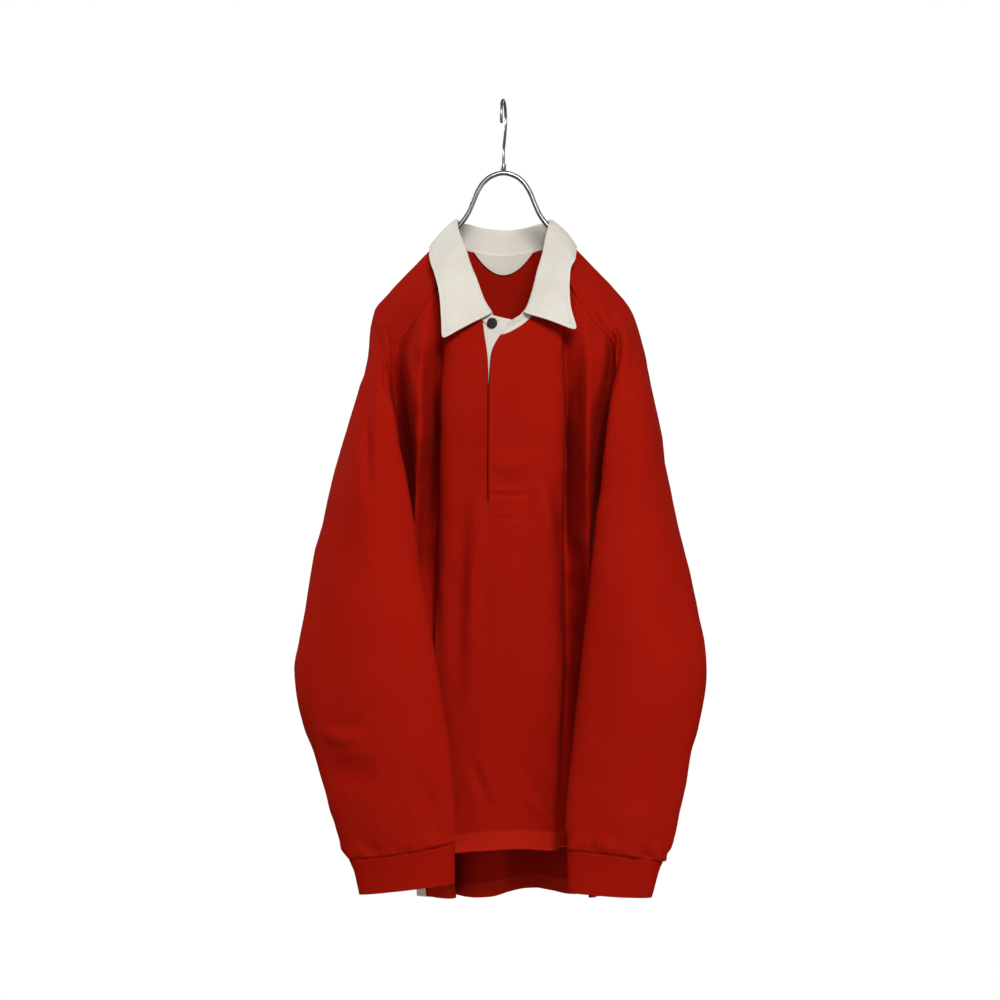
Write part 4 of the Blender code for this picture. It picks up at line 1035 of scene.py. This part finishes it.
COLLAR_POINTS = (  # place, how far it is drawn, and how far round it the cloth follows
    ((-0.0716, -0.0920, -0.2940), (-0.0012, 0.0, -0.0022), 0.014),
    ((0.0823, -0.0840, -0.2800), (0.0032, 0.0, -0.0042), 0.013),
)
NECK_CENTRE = Vector((0.0, -0.010, -0.210))
stand = one_face("collar_stand", TWILL, NECK_CENTRE, inner=True)
fall = one_face("collar_fall", TWILL, NECK_CENTRE)
choose(fall, stand)
bpy.ops.object.join()
collar = bpy.context.object
collar.name = "collar"
print("welded", sew(collar), "points along the roll")
lay_flat(collar)
apply_modifier(collar, "SUBSURF", levels=2, render_levels=2, boundary_smooth="ALL")
for place, by, reach in COLLAR_POINTS:
    pull(collar, place, by, reach)
crease_all(collar, [
    *creases("front", ("collar_fall",), [
        (1.4, 3.2, (-52, -216), (-43, -221.5), (-33, -228)),
        (0.8, 5, (-74, -193), (-56, -198), (-47, -190)),
        (0.7, 6, (50, -250), (64, -244), (76, -248)),
        (0.9, 6, (-64, -245), (-56, -260), (-50, -275)),
        (0.8, 5, (50, -198), (60, -206), (70, -205)),
    ]),
    *creases("front", ("collar_stand",), [
        (0.8, 3.5, (-34, -188), (-10, -193), (20, -190)),
    ]),
    *creases("back", ("collar_fall",), [
        (1, 7, (-50, -180), (-10, -186), (40, -182)),
    ]),
])
measure_from(collar, "edge", all_round)
finish_cloth(collar, TWILL, twill_collar, "white_twill", (0.46, 0.14), 0.045, "shirt_back",
             "collar_stand", "collar_fall")

# %% [markdown]
# Four small pieces of the same twill finish what is cut: the facing behind the slit, a half moon inside the
# neck and a tape on each side vent. Each is made on its own solid, and lies against the red cloth behind
# it.
# %% Facing, neck patch and tapes
TRIMS = (  # node, name, cloth, a place that its outer face looks away from, flat size, area, rests on
    ("placket_under", "slit_facing", twill_trim, (0, 0, -0.4), (0.045, 0.235), 0.0085, "shirt_front"),
    ("neck_patch", "neck_half_moon", twill_patch_painted_light, (0, 1, -0.2), (0.076, 0.030), 0.0014, "shirt_back"),
    ("vent_tape_left", "vent_binding_left", twill_trim, (0, 1, -0.9),
     (0.010, 0.091), 0.00068, "shirt_back"),
    ("vent_tape_right", "vent_binding_right", twill_trim, (0, 1, -0.9),
     (0.016, 0.091), 0.00120, "shirt_back"),
)
for node, name, cloth, centre, flat, area, on in TRIMS:
    trim = one_face(node, TWILL, Vector(centre))
    lay_flat(trim)
    apply_modifier(trim, "SUBSURF", levels=2, render_levels=2, boundary_smooth="PRESERVE_CORNERS")
    trim.name = name
    measure_from(trim, "edge", all_round)
    finish_cloth(trim, TWILL, cloth, "white_twill", flat, area, on, node)

# %% [markdown]
# ## The hanger
# The hanger is one bent rod of chromed steel with a ferrule at the top of its arch, and a thinner hook that
# turns in it. A curve with a round bevel is the plain way to make bent rod.
# %% Chrome
def chrome():
    made = Finish("chromed_steel")
    place = made.object_place()
    wear = made.noise(place, 60.0, 3.0)
    fine = made.noise(place, 500.0, 2.0, (1, 1, 0.2))
    colour = made.mix(wear, (0.20, 0.195, 0.19, 1), (0.50, 0.49, 0.48, 1))
    roughness = made.math("ADD", made.times(wear, 0.12), 0.24)
    return made.close(colour, made.times(fine, 0.01), {"Roughness": roughness, "Metallic": 1.0})


def rod(name, points, radius):
    """A round bar bent through these points."""
    deselect_all()
    bpy.ops.curve.primitive_bezier_curve_add()
    bar = bpy.context.object
    bar.name = name
    spline = bar.data.splines[0]
    spline.bezier_points.add(len(points) - 2)
    for knot, place in zip(spline.bezier_points, points):
        knot.co = place
        knot.handle_left_type = knot.handle_right_type = "AUTO"
    spline.resolution_u = 8
    bar.data.bevel_depth = radius
    bar.data.bevel_resolution = 5
    bar.data.use_fill_caps = True
    bpy.ops.object.convert(target="MESH")
    bpy.ops.object.shade_smooth_by_angle(angle=math.radians(50))
    return bpy.context.object


steel = chrome()
WIRE_RADIUS = 0.0030
WIRE_ARCH = ((0.0000, -0.0867), (0.0110, -0.0890), (0.0220, -0.0958), (0.0310, -0.1080), (0.0390, -0.1265),
             (0.0450, -0.1390), (0.0540, -0.1510), (0.0900, -0.1900), (0.1450, -0.2484))
half = [Vector((x, 0.0, z)) for x, z in WIRE_ARCH]
arch = rod("hanger_rod", [Vector((-p.x, 0, p.z)) for p in reversed(half[1:])] + half, WIRE_RADIUS)
HOOK_RADIUS = 0.0019
HOOK_BEND = 0.0199
HOOK_TURN = math.radians(8)
STEM = ((0.0, -0.0758), (0.0, -0.0600), (0.0080, -0.0470), (0.0160, -0.0330))
flat = [Vector((0, y, z)) for y, z in STEM]
for degrees in range(-5, 212, 27):
    angle = math.radians(degrees)
    across, up = HOOK_BEND * math.cos(angle), HOOK_BEND * math.sin(angle)
    flat.append(Vector((0, across, HOOK_RADIUS - HOOK_BEND + up)))
turned = [Vector((p.y * math.sin(HOOK_TURN), p.y * math.cos(HOOK_TURN), p.z)) for p in flat]
hook = rod("hanger_hook_bar", turned, HOOK_RADIUS)


# %% [markdown]
# The ferrule holds the arch and the hook together. It is a turned part, so it starts as a cylinder: its top
# face is inset, and a bevel then rounds both its ends.
# %% Ferrule
def ferrule():
    """A short sleeve with rounded ends."""
    low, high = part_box("hanger_ferrule")
    middle, height = (low + high) / 2, high.z - low.z
    deselect_all()
    bpy.ops.mesh.primitive_cylinder_add(vertices=32, radius=0.0033, depth=height, location=middle)
    made = bpy.context.object
    made.name = "hanger_ferrule_sleeve"
    bpy.ops.object.transform_apply(location=True, rotation=True, scale=True)
    bpy.ops.object.mode_set(mode="EDIT")
    bpy.ops.mesh.select_all(action="DESELECT")
    bpy.ops.object.mode_set(mode="OBJECT")
    for polygon in made.data.polygons:
        polygon.select = polygon.normal.z > 0.9
    bpy.ops.object.mode_set(mode="EDIT")
    bpy.ops.mesh.inset(thickness=0.0010)
    bpy.ops.object.mode_set(mode="OBJECT")
    apply_modifier(made, "BEVEL", width=0.0006, segments=3, limit_method="ANGLE")
    bpy.ops.object.shade_smooth_by_angle(angle=math.radians(40))
    return made


sleeve = ferrule()
for piece, node in ((arch, "hanger_wire"), (hook, "hanger_hook"), (sleeve, "hanger_ferrule")):
    dress(piece, steel, "chromed_wire", node)

# %% [markdown]
# ## The button
# One dark rubber button closes the collar's end. It is a disc with a rolled edge and a dish, with four
# holes. The solid's own points give the way it faces: a disc is thinnest along its axis.
# %% Button
def dark_rubber():
    made = Finish("dark_button_rubber")
    speck = made.noise(made.object_place(), 900.0, 3.0)
    colour = made.mix(speck, (0.0050, 0.0038, 0.0032, 1), (0.0130, 0.0095, 0.0080, 1))
    roughness = made.math("ADD", made.times(speck, 0.2), 0.50)
    return made.close(colour, made.times(speck, 0.03), {"Roughness": roughness, "Specular IOR Level": 0.20})


def facing_of(name):
    """The middle of a disc-shaped solid, and its axis towards the front."""
    points = points_of(nodes[name])
    middle = (points.min(0) + points.max(0)) / 2
    axis = Vector(np.linalg.svd(points - points.mean(0), full_matrices=False)[2][-1])
    return Vector(middle), axis if axis.y < 0 else -axis


BUTTON_RADIUS = 0.0061
BUTTON_DEPTH = 0.0030
HOLE_OFF = 0.0013


def button():
    middle, axis = facing_of("button_collar")
    deselect_all()
    bpy.ops.mesh.primitive_cylinder_add(vertices=48, radius=BUTTON_RADIUS, depth=BUTTON_DEPTH)
    made = bpy.context.object
    made.name = "collar_button"
    for inset, sink in ((0.0013, 0.0), (0.0007, -0.0007)):
        for polygon in made.data.polygons:
            polygon.select = polygon.normal.z > 0.9 and polygon.area > 4e-5
        bpy.ops.object.mode_set(mode="EDIT")
        bpy.ops.mesh.inset(thickness=inset)
        bpy.ops.transform.translate(value=(0, 0, sink))
        bpy.ops.object.mode_set(mode="OBJECT")
    apply_modifier(made, "BEVEL", width=0.0005, segments=3, limit_method="ANGLE")
    for across, up in ((-1, -1), (-1, 1), (1, -1), (1, 1)):
        deselect_all()
        bpy.ops.mesh.primitive_cylinder_add(
            vertices=12, radius=0.00055, depth=0.01, location=(across * HOLE_OFF, up * HOLE_OFF, 0))
        drill = bpy.context.object
        apply_modifier(made, "BOOLEAN", object=drill, operation="DIFFERENCE")
        bpy.data.objects.remove(drill)
    turn = axis.to_track_quat("Z", "Y").to_matrix().to_4x4()
    made.data.transform(Matrix.Translation(middle) @ turn)
    choose(made)
    bpy.ops.object.shade_smooth_by_angle(angle=math.radians(35))
    return made


dress(button(), dark_rubber(), "dark_button", "button_collar")

# %% [markdown]
# ## Studio
# The camera stands level in front of the shirt. One strong soft light in front and above draws the folds,
# and weaker ones reach the sides, the hem and the back. A dim sky softens their shade, but the camera sees
# plain white behind. A small pale floor lies below.
# %% Camera, lights and floor
EYE = (-0.0043, -2.8, -0.4856)
LENS = 82.62


def camera():
    deselect_all()
    bpy.ops.object.camera_add(location=EYE, rotation=(math.radians(90), 0, 0))
    made = bpy.context.object
    made.name = "studio_camera"
    made.data.lens = LENS
    bpy.context.scene.camera = made


MIDDLE = (0.0, 0.0, -0.5)
LIGHTS = (  # name, place, size, power and what it points at
    ("key", (0.5, -2.9, 1.3), 1.2, 84, (0.0, 0.0, -0.9)),
    ("front", (-0.3, -3.2, 0.6), 1.4, 9, (0.0, 0.0, -0.8)),
    ("low_left", (2.2, -0.8, -1.1), 0.4, 4.5, (0.0, 0.03, -0.95)),
    ("side_right", (-2.5, -1.3, 0.1), 1.4, 2.5, MIDDLE),
    ("side_left", (2.5, -1.3, 0.1), 1.4, 3.5, MIDDLE),
    ("back_right", (-2.8, 1.7, 0.9), 1.0, 66, MIDDLE),
    ("back_left", (2.0, 2.6, 0.6), 1.6, 12, MIDDLE),
)


def area_light(name, place, size, power, target):
    deselect_all()
    bpy.ops.object.light_add(type="AREA", location=place)
    made = bpy.context.object
    made.name = name
    made.data.shape = "DISK"
    made.data.size = size
    made.data.energy = power
    made.rotation_mode = "QUATERNION"
    made.rotation_quaternion = (Vector(target) - Vector(place)).to_track_quat("-Z", "Y")


camera()
for light in LIGHTS:
    area_light(*light)
print(len(LIGHTS), "lights")


def studio_sky():
    sky = bpy.data.worlds.new("studio_sky")
    sky.use_nodes = True
    tree = sky.node_tree
    soft = tree.nodes["Background"]
    soft.inputs["Color"].default_value = (1.0, 0.985, 0.96, 1)
    soft.inputs["Strength"].default_value = 0.17
    plain = tree.nodes.new("ShaderNodeBackground")
    plain.inputs["Color"].default_value = (1, 1, 1, 1)
    plain.inputs["Strength"].default_value = 1.0
    ray = tree.nodes.new("ShaderNodeLightPath")
    mix = tree.nodes.new("ShaderNodeMixShader")
    tree.links.new(ray.outputs["Is Camera Ray"], mix.inputs["Fac"])
    tree.links.new(soft.outputs["Background"], mix.inputs[1])
    tree.links.new(plain.outputs["Background"], mix.inputs[2])
    tree.links.new(mix.outputs["Shader"], tree.nodes["World Output"].inputs["Surface"])
    bpy.context.scene.world = sky


studio_sky()
bpy.context.scene.view_settings.view_transform = "Standard"


def floor():
    deselect_all()
    bpy.ops.mesh.primitive_circle_add(vertices=64, radius=0.6, fill_type="NGON", location=(0, 0, -1.26))
    made = bpy.context.object
    made.name = "studio_floor"
    pale = Finish("pale_floor")
    grain = pale.noise(pale.object_place(), 30.0, 3.0)
    colour = pale.mix(grain, (0.80, 0.80, 0.79, 1), (0.84, 0.84, 0.83, 1))
    made.data.materials.append(pale.close(colour, grain, {"Roughness": 0.9}))


floor()
